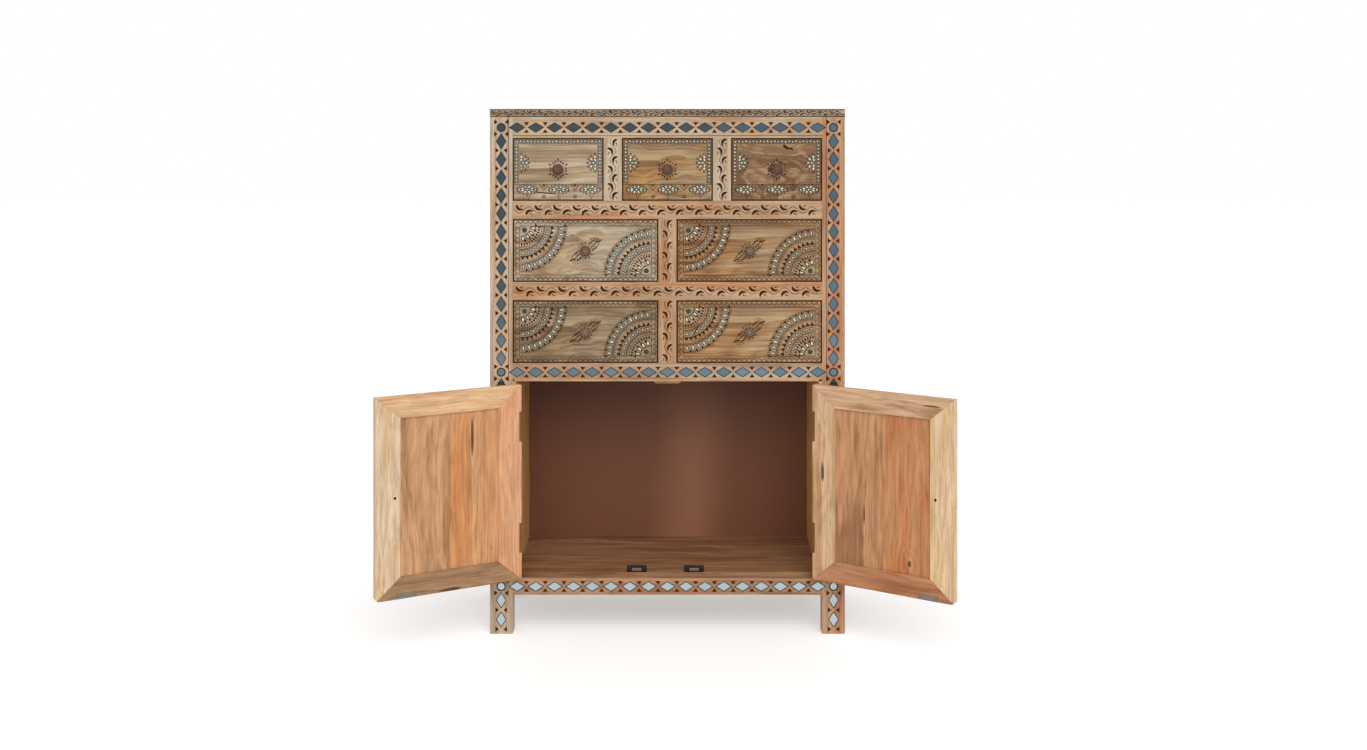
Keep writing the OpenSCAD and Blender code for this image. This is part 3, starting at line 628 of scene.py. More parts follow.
def mirrored_rail_marks(z):
    """The seats and chips of a mirrored rail."""
    marks = [("lozenge", x, z, RIGHT, LOZENGE) for x in mirror_xs]
    for x in mirror_xs[:-1]:
        x += mirror_step / 2
        marks += [chip(x, z + 9, DOWN), chip(x, z - 8.6, UP)]
    return marks


def post_marks(side):
    """The seats and chips of a front post."""
    x = side * post_x
    marks = []
    for column in post_zs:
        marks += [("lozenge", x, z, DOWN, LOZENGE) for z in column]
        for above, below in zip(column, column[1:]):
            marks += chip_pair(x, (above + below) / 2)
    for z in rail_z:
        marks += [("round", x, z, RIGHT, ROUND), ("lozenge", side * mirror_xs[-1], z, RIGHT, LOZENGE)]
        marks += chip_pair(x, z + 14, 13.1) + chip_pair(x, z - 16.5, 13.1)
    return marks + chip_pair(x, 12)


shaded_level = make_wood("frame wood level, darker", (182, 156, 130), (235, 190, 155), ALONG_X, (0, 0.4, 0.2),
                         0.9)
ruddy_level = make_wood("frame wood level, ruddy", (178, 138, 106), (235, 185, 145), ALONG_X, (0, 0.4, 0.2),
                        0.9)
for name, z, finish in (("top_rail", rail_z[0], frame_level), ("head_rail", rail_z[1], shaded_level),
                        ("bottom_rail", rail_z[2], ruddy_level)):
    low, high = ends(name)
    low.x, high.x = -inner_x, inner_x
    bead_line = [[(-inner_x - 1, low.z + 5.5), (inner_x + 1, low.z + 5.5)]] if name == "top_rail" else []
    piece = carve(board(name + "_carved", low, high, 0.5), finish, mirrored_rail_marks(z), bead_line)
    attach(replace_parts(piece, name), "carcass")
SEAM_X = 402.5
for name, side in (("front_post_left", -1), ("front_post_right", 1)):
    low, high = ends(name)
    blank = board(name + "_carved", low, high, 0.5, side * outer_x)
    seam = [[(side * SEAM_X, batten_z), (side * SEAM_X, high.z + 1)]]
    piece = carve(blank, ruddy_upright if side > 0 else frame_upright, post_marks(side), seam)
    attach(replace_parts(piece, name), "carcass")


# The mirrors: thin silvered glass cut to diamonds and discs, lying in shallow seats.
# Dark putty is pressed round each one. Their colour is a painted reflection of what each one faces in the
# room.
def toned(group, points, seed):
    """The points, each with a random tone from 0 to 1."""
    return stored(group, points, "tone", random_value(group, 0.0, 1.0, seed), "FLOAT", "POINT")


setting, given, out = new_group("setting in seats", "GeometryNodeTree", [
    ("Geometry", "Geometry", None), ("Diamond", "Object", None), ("Disc", "Object", None),
    ("Material", "Material", None), ("Tilt", "Float", 0.0)], [("Geometry", "Geometry")])
tilt = maths(setting, "RADIANS", given["Tilt"])
spread = combine(setting, tilt, 0.0, tilt)
against = scaled(setting, spread, -1.0)
chance = add(setting, "FunctionNodeRandomValue", {0: against, 1: spread, "Seed": 4},
             data_type="FLOAT_VECTOR").outputs[0]
turned = vector_maths(setting, "ADD", attribute(setting, "turn"), chance)
points = toned(setting, given["Geometry"], 4)
together = add(setting, "GeometryNodeJoinGeometry")
for cutter, template in (("lozenge", "Diamond"), ("round", "Disc")):
    set_out = instances(setting, points, shape_of(setting, given[template]), turned,
                        Selection=of_kind(setting, cutter))
    setting.links.new(set_out, together.inputs[0])
setting.links.new(realized(setting, together.outputs[0], given["Material"]), out.inputs["Geometry"])


def turned_plate(name, corners, half_x, half_z, rings, cap):
    """A diamond or disc plate on Y = 0: rings are shares of its outline and their Y."""
    shape = bmesh.new()
    loops = []
    for share, y in rings:
        loop = []
        for i in range(corners):
            angle = 2 * math.pi * i / corners
            loop.append(shape.verts.new((half_x * share * math.cos(angle) * mm, y * mm,
                                         half_z * share * math.sin(angle) * mm)))
        loops.append(loop)
    if not cap:
        loops.append(loops[0])
    for one, two in zip(loops, loops[1:]):
        for i in range(corners):
            shape.faces.new((one[i], one[i - 1], two[i - 1], two[i]))
    if cap:
        shape.faces.new(loops[0])
        shape.faces.new(loops[-1])
    return finished(name, shape)


mirror_glass, tree = new_material("mirror glass")
place = object_place(tree)
split = separate(tree, place)
# Painted reflection: the glass colour runs from pale low down to dark slate high up, with a blue cast on the
# upper right, standing in for the room that the mirrors reflect.
painted_reflection = add(tree, "ShaderNodeValToRGB", {"Fac": split["Z"]})
bands = painted_reflection.color_ramp
bands.elements[0].position, bands.elements[0].color = 0.05, srgb(184, 202, 206)
bands.elements[1].position, bands.elements[1].color = 0.17, srgb(176, 194, 199)
for spot, colour in ((0.55, (104, 121, 130)), (0.68, (112, 130, 138)), (0.8, (83, 97, 104)),
                     (1.0, (62, 75, 81))):
    step = bands.elements.new(spot)
    step.color = srgb(*colour)
upper = ramp(tree, split["Z"], 0.15, 0.55)
blue_reflection_share = product(tree, product(tree, ramp(tree, split["X"], -0.1, 0.45), 0.5), upper)
tint = mix(tree, blue_reflection_share, painted_reflection.outputs[0], srgb(98, 134, 158))
tone = add(tree, "ShaderNodeAttribute", attribute_name="tone").outputs["Fac"]
# Painted reflection: each mirror is a random share darker, more so high up, for the different things that
# each one reflects.
darker = product(tree, tone, total(tree, product(tree, upper, 0.33), 0.12))
tint = mix(tree, darker, tint, srgb(52, 66, 74))
speckle = ramp(tree, stretched_noise(tree, place, (900, 900, 900), 2), 0.6, 0.75)
tint = mix(tree, product(tree, speckle, 0.35), tint, srgb(40, 44, 46))
wave = stretched_noise(tree, place, (60, 60, 60), 1)
end_material(tree, {
    "Base Color": tint, "Metallic": 1.0, "Roughness": 0.16, "Normal": bump_from(tree, wave, 0.25, 0.8 * mm),
    "Coat Weight": 0.4, "Coat Roughness": 0.05})
putty = make_plain("dark putty", (36, 28, 24), 0.8)

seats = [mark for side in (-1, 1) for mark in post_marks(side) if mark[0] in ("lozenge", "round")
         and abs(abs(mark[1]) - post_x) < 1]
seats += [mark for z in rail_z for mark in mirrored_rail_marks(z) if mark[0] == "lozenge"]
glass_rings = [(0.975, 2.2), (0.99, 2.0), (0.99, 0.5), (0.96, 0.4)]
putty_rings = [(0.995, 0.9), (0.995, 0.15), (0.93, -0.15), (0.86, 0.1), (0.815, 0.42), (0.815, 0.9)]
disc_putty = [(0.995, 0.9), (0.995, 0.15), (0.9, -0.15), (0.8, 0.1), (0.72, 0.42), (0.72, 0.9)]
for name, rings, round_rings, cap, finish, lean in (
        ("mirror_glasses", glass_rings, glass_rings, True, mirror_glass, 0.35),
        ("mirror_putty", putty_rings, disc_putty, False, putty, 0.0)):
    diamond = turned_plate("diamond", 4, 21.4, 13.4, rings, cap)
    disc = turned_plate("disc", 36, 11.6, 11.6, round_rings, cap)
    holder = layout(seats)
    holder.name = name
    piece = at_front(baked(holder, setting, {
        "Diamond": diamond, "Disc": disc, "Material": finish, "Tilt": lean}))
    for helper in (diamond, disc):
        bpy.data.objects.remove(helper)
    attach(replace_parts(piece, "carcass_mirrors"), "carcass")


# The rails between the drawer rows and the dividers: the same wood, with a carved vine.
# A thin stem winds along the middle, and a gouged leaf lies in each of its bends.
warm_level = make_wood("rail wood", (192, 158, 123), (250, 178, 135), ALONG_X, (0, 0.1, 0.3), 0.9,
                       contrast=0.9)
pale_upright = make_wood("divider wood", (194, 176, 150), (240, 200, 160), ALONG_Z, (0.1, 0, 0.2), 0.4,
                         contrast=0.8)
hand = random.Random(11)
LEAF_OFF, STEM_OFF, STEM_STEP = 11.8, 8.2, 3.5


def vine(first, pitch, count, start, end, along, across, turn=RIGHT, size=1.0):
    """Leaves from first on, and a stem from start to end. along and across are unit steps in X and Z,
    and the third number of each is the X and the Z that the vine starts from."""
    marks, stem = [], []

    def spot(u, v):
        return along[0] * u + across[0] * v + along[2], along[1] * u + across[1] * v + across[2]

    for i in range(count):
        over = 1 if i % 2 == 0 else -1
        u = first + i * pitch / 2 + hand.uniform(-0.8, 0.8)
        grow = size * hand.uniform(0.94, 1.06)
        lean = math.radians(hand.uniform(-7, 7))
        centre = (u + 4.0 * size, over * LEAF_OFF * size - 0.4)
        x, z = spot(*centre)
        marks.append(("leaf", x, z, turn + lean, (grow,) * 3, over < 0))
        x, z = spot(centre[0] + 0.4 * size, centre[1] - over * 2.4 * size)
        marks.append(("cup", x, z, turn - over * 1.0, (5.6 * size, 2.4, 3.4 * size)))
        x, z = spot(centre[0] + 4.8 * size, centre[1] - over * 0.6 * size)
        marks.append(("cup", x, z, turn - over * 0.9, (4.4 * size, 2.0, 2.5 * size)))
    steps = int((end - start) / STEM_STEP)
    for i in range(steps + 1):
        u = start + (end - start) * i / steps
        v = 0.2 - STEM_OFF * size * math.cos(2 * math.pi * (u - first) / pitch)
        stem.append(spot(u, v + hand.uniform(-0.15, 0.15)))
    return marks, [stem]


for name, pitch, count in (("upper_mid_rail", 47.8, 32), ("lower_mid_rail", 53.7, 29)):
    low, high = ends(name)
    low.x, high.x = -inner_x, inner_x
    marks, stem = vine(-375, pitch, count, -390, 381, (1, 0, 0), (0, 1, (low.z + high.z) / 2))
    piece = carve(board(name + "_carved", low, high, 0.5), warm_level, marks, stem)
    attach(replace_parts(piece, name), "carcass")


def joined(name, parts):
    """The parts of one piece in one mesh, each with its own finish."""
    mesh = bpy.data.meshes.new(name)
    shape = bmesh.new()
    for part in parts:
        first, start = len(mesh.materials), len(shape.faces)
        for finish in part.data.materials:
            mesh.materials.append(finish)
        shape.from_mesh(part.data)
        shape.faces.ensure_lookup_table()
        for face in shape.faces[start:]:
            face.material_index += first
        bpy.data.objects.remove(part)
    shape.to_mesh(mesh)
    shape.free()
    return link(name, mesh)


warm_upright = make_wood("divider wood, warmer", (190, 155, 121), (240, 175, 130), ALONG_Z, (0.1, 0, 0.5),
                         0.9, contrast=0.9)
parts = []
row_ends = [ends(name + "_front") for name in ("upper_left", "middle_left", "lower_left")]
DIVIDER_W, DIVIDER_T, FRONT_GAP = 46, 22, 1.2
half_w = DIVIDER_W / 2
narrow_half = (2 * inner_x - 2 * DIVIDER_W) / 6
for row, x in ((0, -narrow_half - half_w), (0, narrow_half + half_w), (1, 0), (2, 0)):
    foot, head = row_ends[row][0].z - FRONT_GAP, row_ends[row][1].z + FRONT_GAP
    blank = board("divider", (x - half_w, 0, foot), (x + half_w, DIVIDER_T, head), 0.5)
    count = 7 if row == 0 else 6
    pitch = 2 * (head - foot - 24) / (count - 1)
    marks, stem = vine(10, pitch, count, 2, head - foot - 2, (0, -1, x), (1, 0, head), DOWN, 0.95)
    parts.append(carve(blank, warm_upright if row else pale_upright, marks, stem))
piece = joined("row_dividers_carved", parts)
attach(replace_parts(piece, "row_dividers"), "carcass")


# The top board: a planed plank, stained darker, that lies flush on the posts.
# Its front edge has a small carved vine between two scribed lines.
top_wood = make_wood("top wood", (172, 148, 121), (200, 180, 160), ALONG_X, (0, 0, 0.7), 0.6)
edge_stain = make_plain("dark wax in the top edge", (58, 44, 36), 0.85)
low, high = ends("top_board")
middle_z = (low.z + high.z) / 2
marks, stem = vine(-440, 29.5, 60, -451, 451, (1, 0, 0), (0, 1, middle_z), size=0.55)
marks += [chip(x + hand.uniform(-5, 5), middle_z + hand.choice((-5.5, 5.5)), UP, 6, 5, 1.5)
          for x in range(-430, 440, 22)]
# Partly painted shade: the lower scribed line, cut dark 2.2 mm above the board's lower edge, also stands in
# for the shadow in the joint with the rail below.
scribed = [[(-451, z), (451, z)] for z in (low.z + 2.2, high.z - 2.4)]
piece = carve(board("top_board_carved", low, high, 1.0), top_wood, marks, stem + scribed, edge_stain, 2.0)
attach(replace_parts(piece, "top_board"), "carcass")


# The rear posts and the rails at the sides and back: plain squared timber, tenoned together.
# The thin side panels between them sit in grooves, set back from the posts' faces.
side_upright = make_wood("side wood upright", (188, 148, 106), (235, 185, 140), ALONG_Z, (0, 0.2, 0))
side_level = make_wood("side wood level", (186, 146, 104), (235, 185, 140), ALONG_Y, (0, 0, 0.2))
side_panel_wood = make_wood("side panel wood", (178, 136, 94), (215, 170, 125), ALONG_Z, (0.2, 0.2, 0.1), 0.7,
                            0.7)


def plain_board(name, low, high, finish, ease):
    """An eased board with its finish, set at its place in the chest."""
    made = board(name, low, high, ease)
    made.data.materials.append(finish)
    return at_front(made)


def side_board(name, side, inner, low, high, finish, ease=1.0):
    """A board at one side of the chest, from inner out. low and high are its corners' Y and Z."""
    near, far = sorted((side * inner, side * outer_x))
    return plain_board(name, (near, *low), (far, *high), finish, ease)


SIDE_RAIL_H, BACK_RAIL_H, RAIL_T = 48, 32, 21
low, high = ends("rear_posts")
parts = [side_board("rear_post", side, inner_x, low.yz, high.yz, side_upright) for side in (-1, 1)]
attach(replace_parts(joined("rear_posts_eased", parts), "rear_posts"), "carcass")
front, back = post_high.y, low.y
low, high = ends("side_and_back_rails")
parts = [side_board("side_rail", side, outer_x - RAIL_T, (front, foot), (back, foot + SIDE_RAIL_H),
                    side_level, 0.8) for side in (-1, 1) for foot in (low.z, batten_z, high.z - SIDE_RAIL_H)]
parts += [plain_board("back_rail", (-inner_x, high.y - RAIL_T, foot), (inner_x, high.y, foot + BACK_RAIL_H),
                      side_level, 0.8) for foot in (low.z, high.z - BACK_RAIL_H)]
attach(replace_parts(joined("side_and_back_rails_eased", parts), "side_and_back_rails"), "carcass")


def finish_as(node, finish):
    """Gives a CAD node a finish and keeps its shape."""
    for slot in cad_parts[node].material_slots:
        slot.material = finish


finish_as("side_panels", side_panel_wood)


# The back panel is a thin sheet of brown pressed board in a rebate behind the posts; its inner face carries a
# painted reflection and painted shade.
# Dust boards part the drawer rows, and guides keep each drawer straight.
hardboard, tree = new_material("pressed board")
place = object_place(tree)
fibre = stretched_noise(tree, place, (420, 420, 420), 4, 0.7)
cloud = stretched_noise(tree, place, (5, 5, 5), 3)
tone = mix(tree, product(tree, fibre, 0.55), srgb(126, 74, 44), srgb(82, 46, 27))
tone = mix(tree, product(tree, cloud, 0.3), tone, srgb(112, 67, 41))
split = separate(tree, place)
# Painted reflection: a paler upright band a little right of the middle of the inner face, its edge wavered by
# noise, stands in for light reflected on the board.
off = total(tree, split["X"], product(tree, cloud, 0.1))
off = maths(tree, "ABSOLUTE", maths(tree, "SUBTRACT", off, 0.12))
low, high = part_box("back_panel")
inner = maths(tree, "LESS_THAN", split["Y"], (low.y + high.y) / 2)
band = product(tree, product(tree, ramp(tree, off, 0.13, 0.0), 0.4), inner)
tone = mix(tree, band, tone, srgb(176, 122, 90))
# Painted shade: the inner face grows darker from 0.35 m up to 0.66 m and stays darker above, where the head
# rail and the drawers above shade it.
painted_shade = product(tree, product(tree, ramp(tree, split["Z"], 0.35, 0.66), 0.45), inner)
tone = mix(tree, painted_shade, tone, srgb(60, 36, 24))
end_material(tree, {"Base Color": tone, "Roughness": 0.62, "Normal": bump_from(tree, fibre, 0.3, 0.3 * mm)})
inner_wood = make_wood("unfinished inner wood", (166, 126, 86), (220, 180, 140), ALONG_Y, (0, 0.3, 0.1), 0.5,
                       gloss=0.2)
inner_level = make_wood("unfinished inner boards", (112, 74, 48), (215, 180, 150), ALONG_X, (0, 0.3, 0.1),
                        0.5, gloss=0.2)
finish_as("back_panel", hardboard)
finish_as("dust_boards", inner_level)
finish_as("drawer_guides", inner_wood)
finish_as("floor_bearers", inner_wood)


# The cupboard: a floor of five planks, a lining board at each side, and a batten under the head
# rail that carries a chamfered block, which stops the doors.
floor_wood = make_wood("cupboard floor wood", (162, 122, 88), (190, 150, 120), ALONG_X, (0.2, 0, 0), 0.9)
lining_wood = make_wood("lining wood", (238, 188, 124), (225, 190, 145), ALONG_Z, (0.2, 0, 0), 0.7)
low, high = ends("cupboard_floor")
PLANKS, PLANK_GAP, CHAMFER = 5, 0.2, 6
plank = (high.y - low.y) / PLANKS
parts = [plain_board("plank", (low.x, low.y + i * plank, low.z),
                     (high.x, low.y + (i + 1) * plank - PLANK_GAP, high.z), floor_wood, 0.8)
         for i in range(PLANKS)]
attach(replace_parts(joined("cupboard_floor_planks", parts), "cupboard_floor"), "carcass")
finish_as("cupboard_linings", lining_wood)


def prism(name, outline, front, back, ease, finish):
    """A flat member: its outline in X and Z, in millimetres, between two depths."""
    shape = bmesh.new()
    extruded(shape, outline, front, back)
    bmesh.ops.recalc_face_normals(shape, faces=shape.faces)
    sharp = [e for e in shape.edges if e.calc_face_angle(0) > math.radians(30)]
    bmesh.ops.bevel(shape, geom=sharp, offset=ease * mm, segments=2, profile=0.5, affect="EDGES")
    made = finished(name, shape)
    made.data.materials.append(finish)
    return made


stop_level = make_wood("batten wood", (206, 168, 126), (240, 185, 140), ALONG_X, (0, 0, 0.64))
low, high = ends("door_stop")
z = high.z - 4.5
block = prism("stop_block", [(-35.5, z), (-35.5, z - 3.5), (CHAMFER - 35.5, z - 3.5 - CHAMFER),
                             (35.5 - CHAMFER, z - 3.5 - CHAMFER), (35.5, z - 3.5), (35.5, z)], 22, 46, 0.6,
              stop_level)
parts = [plain_board("batten", (low.x, low.y, z), high, stop_level, 0.5), at_front(block)]
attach(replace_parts(joined("door_stop_eased", parts), "door_stop"), "carcass")


# The iron work: butt hinges and strike plates in dull steel, magnetic catches in dark plastic.
# Small cross-head screws hold them.
hinge_steel = make_plain("hinge steel", (120, 112, 100), 0.42, 0.9, 0.4, 160)
strike_steel = make_plain("strike steel", (140, 132, 120), 0.42, 0.85, 0.5, 160)
catch_dark = make_plain("catch plastic", (30, 20, 18), 0.45, 0.0, 0.3, 300, 0.2)
finish_as("fixed_hinge_leaves", hinge_steel)


def make_screws():
    """Round screw heads with a cross slot, one for each point, looking along its normal."""
    group, given, out = new_group("screws", "GeometryNodeTree", [
        ("Geometry", "Geometry", None), ("Head Radius", "Float", 2.6 * mm),
        ("Head Height", "Float", 0.9 * mm), ("Material", "Material", None)], [("Geometry", "Geometry")])
    ball = add(group, "GeometryNodeMeshUVSphere", {"Segments": 16, "Rings": 8, "Radius": 1.0}).outputs[0]
    slots = add(group, "GeometryNodeJoinGeometry")
    for size in ((1.3, 0.28, 1.0), (0.28, 1.3, 1.0)):
        bar = add(group, "GeometryNodeMeshCube", {"Size": size}).outputs[0]
        bar = add(group, "GeometryNodeTransform", {"Geometry": bar, "Translation": (0, 0, 1.0)}).outputs[0]
        group.links.new(bar, slots.inputs[0])
    size = combine(group, given["Head Radius"], given["Head Radius"], given["Head Height"])
    head = cut_from(group, ball, slots.outputs[0])
    set_out = instances(group, given["Geometry"], head, attribute(group, "turn"), Scale=size)
    group.links.new(realized(group, set_out, given["Material"]), out.inputs["Geometry"])
    return group


screws = make_screws()


def screw_heads(name, spots, finish, radius, height):
    """Screws at spots: each is a place in millimetres and the turn of its head."""
    mesh = bpy.data.meshes.new(name)
    mesh.from_pydata([Vector(place) * mm for place, turn in spots], [], [])
    mesh.attributes.new("turn", "FLOAT_VECTOR", "POINT")
    for i, (place, turn) in enumerate(spots):
        mesh.attributes["turn"].data[i].vector = turn
    made = baked(link(name, mesh), screws, {"Head Radius": radius * mm, "Head Height": height * mm,
                                            "Material": finish})
    return at_front(made)


BACKWARD, UPWARD = (math.radians(-90), 0, 0), (0, 0, 0)
catch_xs = {-1: -78, 1: 68}
EAR = 18
low, high = ends("magnetic_catches")
catch_case = make_plain("catch case plastic", (40, 28, 27), 0.35, 0.0, 0.3, 300, 0.2)
pole_steel = make_plain("pole plate steel", (150, 124, 122), 0.4, 0.3, 0.3, 300)
parts = []
for x in catch_xs.values():
    parts += [plain_board("ear", (ear - 7, low.y, low.z), (ear + 7, high.y, high.z), catch_dark, 3.5)
              for ear in (x - EAR, x + EAR)]
    parts.append(plain_board("case", (x - 13, low.y + 1, low.z), (x + 13, high.y - 1, high.z - 1.2),
                             catch_case, 1.2))
    parts += [plain_board("pole_plate", (x - 12, low.y + 0.3, low.z + up),
                          (x + 12, low.y + 2, low.z + up + 2), pole_steel, 0.2) for up in (5, 8.5)]
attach(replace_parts(joined("magnetic_catches_cased", parts), "magnetic_catches"), "carcass")
spots = [((x + end * EAR, low.y + 7, high.z - 0.2), UPWARD) for x in catch_xs.values() for end in (-1, 1)]
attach(screw_heads("catch_screws", spots, strike_steel, 2.2, 1.2), "carcass")
LINING_FACE, LEAF_T = 384, 2.1
spots = [((side * (LINING_FACE - LEAF_T), 11, z + up), (0, math.radians(-90 * side), 0))
         for side in (-1, 1) for z in (213, 493) for up in (12, 37.5, 63)]
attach(screw_heads("fixed_leaf_screws", spots, strike_steel, 2.2, 0.5), "carcass")


# The knobs: dark turned wood, cut into petals round the rim, with a small rosette on the face.
# Each is glued on a dowel in the middle of its drawer, or near a door's free edge.
knob_wood = make_wood("knob wood", (118, 90, 72), (200, 160, 140), ALONG_Y, (0, 0, 0), 0.5, 4.0, 0.8, 0.15)
worn_knob = make_wood("knob wood, worn", (138, 114, 90), (200, 170, 150), ALONG_Y, (0, 0, 0), 0.5, 4.0, 0.8,
                      0.15)
smoked = make_plain("smoked mirror", (66, 78, 74), 0.25, 0.9, 0.4, 400)
knob_dark = make_plain("dark knob stain", (52, 34, 28), 0.6)
PETALS = 8


def knob(name, x, z, finish):
    """A knob on the front's face: a neck, a petalled rim and a carved rosette."""
    profile = [(3.2, 0.5), (10.5, 0), (10.5, -0.6), (8.9, -2), (8.5, -8), (9.5, -9.6), (13, -10.8),
               (14.6, -13), (14.8, -15.5), (13.8, -18.3), (11.8, -20.6), (10.4, -21), (9.6, -21.4),
               (7.5, -22.6), (5.2, -23.1), (4.4, -22.7), (3.4, -23.4), (1.6, -23.9)]
    shape = bmesh.new()
    count = PETALS * 8
    loops = []
    for radius, y in profile:
        loop = []
        for i in range(count):
            angle = 2 * math.pi * i / count
            wave = abs(math.sin(PETALS * angle / 2))
            reach, dip = radius, 0.0
            if radius > 9 and -20.7 < y < -9.7:
                reach = radius * (0.90 + 0.10 * wave ** 0.6)
            elif y < -21 and radius > 4.9:
                dip = 1.3 * (1 - wave) ** 2
            loop.append(shape.verts.new(((x + reach * math.cos(angle)) * mm, (y + dip) * mm,
                                         (z + reach * math.sin(angle)) * mm)))
        loops.append(loop)
    for one, two in zip(loops, loops[1:]):
        for i in range(count):
            shape.faces.new((one[i - 1], one[i], two[i], two[i - 1]))
    shape.faces.new(loops[0])
    tip = shape.verts.new((x * mm, -24.0 * mm, z * mm))
    for i in range(count):
        shape.faces.new((loops[-1][i - 1], loops[-1][i], tip))
    for face in shape.faces:
        face.smooth = True
        middle = face.calc_center_median()
        away = math.hypot(middle.x - x * mm, middle.z - z * mm) / mm
        gap = abs(math.sin(PETALS * math.atan2(middle.z - z * mm, middle.x - x * mm) / 2))
        ringed = 9.8 < away < 11.6 and middle.y < -20 * mm or 4.0 < away < 5.2 and middle.y < -22 * mm
        face.material_index = 1 if ringed or gap < 0.28 and away > 5 and middle.y < -9 * mm else 0
    made = finished(name, shape)
    made.data.materials.append(finish)
    made.data.materials.append(knob_dark)
    return at_front(made)


# The doors: four mitred members round a panel of two boards, hung on butt hinges.
# They stand wide open, so their plain inner faces show; a vine is carved on the outer ones.
PIN = Vector((LINING_FACE - 5, -4.4, 0))
SWUNG = {-1: math.radians(-151), 1: math.radians(147.5)}


def swing(side):
    """Turns a closed door about its hinge pin to where it stands."""
    pin = Vector((side * PIN.x * mm, front_y + PIN.y * mm, 0))
    return Matrix.Translation(pin) @ Matrix.Rotation(SWUNG[side], 4, "Z") @ Matrix.Translation(-pin)


def door_wood(side, part, upright):
    """Wood for a swung door: its figure, and a knot where there is one, starts at a closed place."""
    tone, stain, (x, z), knot = door_tones[side][part]
    face = 15 if part.startswith("panel") else 20
    place = swing(side) @ (Vector((x, face, z)) * mm + Vector((0, front_y, 0)))
    turn = (0, math.radians(-90) if upright else 0, SWUNG[side])
    return make_wood(f"{sides[side]} {part.replace('_', ' ')}", tone, stain, turn, place, 0.9, 1.5, 0.76,
                     knot=knot)


DOOR_FOOT, DOOR_W, DOOR_H, STILE, MITRE, DOOR_T = 146, 378, 489, 62, 53, 20
DOOR_EDGE = LINING_FACE - 4
KNOB_INSET = 48
CORNER = 9
HALF_WAY = -46.9


def across(side, u):
    """The X of a place on a closed door, u from its hinge edge."""
    return side * (DOOR_EDGE - u)


def swung(piece, side):
    """Turns a piece of a closed door to where the door stands."""
    piece.data.transform(swing(side))
    return piece


def rounding(*angles):
    """The rounded lower corner of a door's free side, at these angles."""
    return [(DOOR_W - CORNER + CORNER * math.cos(a), CORNER + CORNER * math.sin(a))
            for a in map(math.radians, angles)]


notch = [(0, 422.2), (6.5, 422.2), (6.5, 346.8), (0, 346.8), (0, 142.2), (6.5, 142.2), (6.5, 66.8), (0, 66.8)]
inner_w, inner_h = DOOR_W - STILE, DOOR_H - MITRE
members = {
    "hinge_stile": [(0, 0), (STILE, MITRE), (STILE, inner_h), (0, DOOR_H)] + notch,
    "free_stile": [(DOOR_W, DOOR_H), (inner_w, inner_h), (inner_w, MITRE)]
    + rounding(HALF_WAY, -36, -24, -12, 0),
    "foot_rail": [(0.2, 0), (STILE + 0.2, MITRE), (inner_w - 0.2, MITRE)]
    + [(x - 0.2, z) for x, z in rounding(HALF_WAY, -58, -68, -79, -90)],
    "head_rail": [(0.2, DOOR_H), (STILE + 0.2, inner_h), (inner_w - 0.2, inner_h), (DOOR_W - 0.2, DOOR_H)]}
# For each member: tone, stain, the X and Z where its figure starts, and a knot's size there.
door_tones = {
    -1: {"hinge_stile": ((221, 165, 125), (245, 205, 165), (0, 240), None),
         "free_stile": ((224, 196, 163), (225, 195, 150), (-18, 120), (26, 7)),
         "foot_rail": ((168, 130, 94), (165, 145, 110), (-190, 150), (60, 8)),
         "head_rail": ((226, 184, 141), (235, 190, 150), (60, 0), None),
         "panel_a": ((211, 155, 107), (245, 200, 155), (-249.5, 518), (95, 8)),
         "panel_b": ((207, 157, 115), (165, 160, 130), (-290, 540), None)},
    1: {"hinge_stile": ((220, 183, 145), (200, 165, 130), (352, 420), (50, 9)),
        "free_stile": ((229, 197, 159), (225, 215, 140), (36, 160), (10, 4)),
        "foot_rail": ((189, 133, 92), (185, 140, 110), (0, 0), (90, 8)),
        "head_rail": ((217, 176, 138), (160, 130, 110), (60, 614), (50, 5)),
        "panel_b": ((199, 140, 95), (235, 180, 135), (120, 225), (16, 9)),
        "panel_a": ((200, 148, 105), (150, 138, 112), (240, 330), (50, 5))}}
sides = {-1: "left_door", 1: "right_door"}
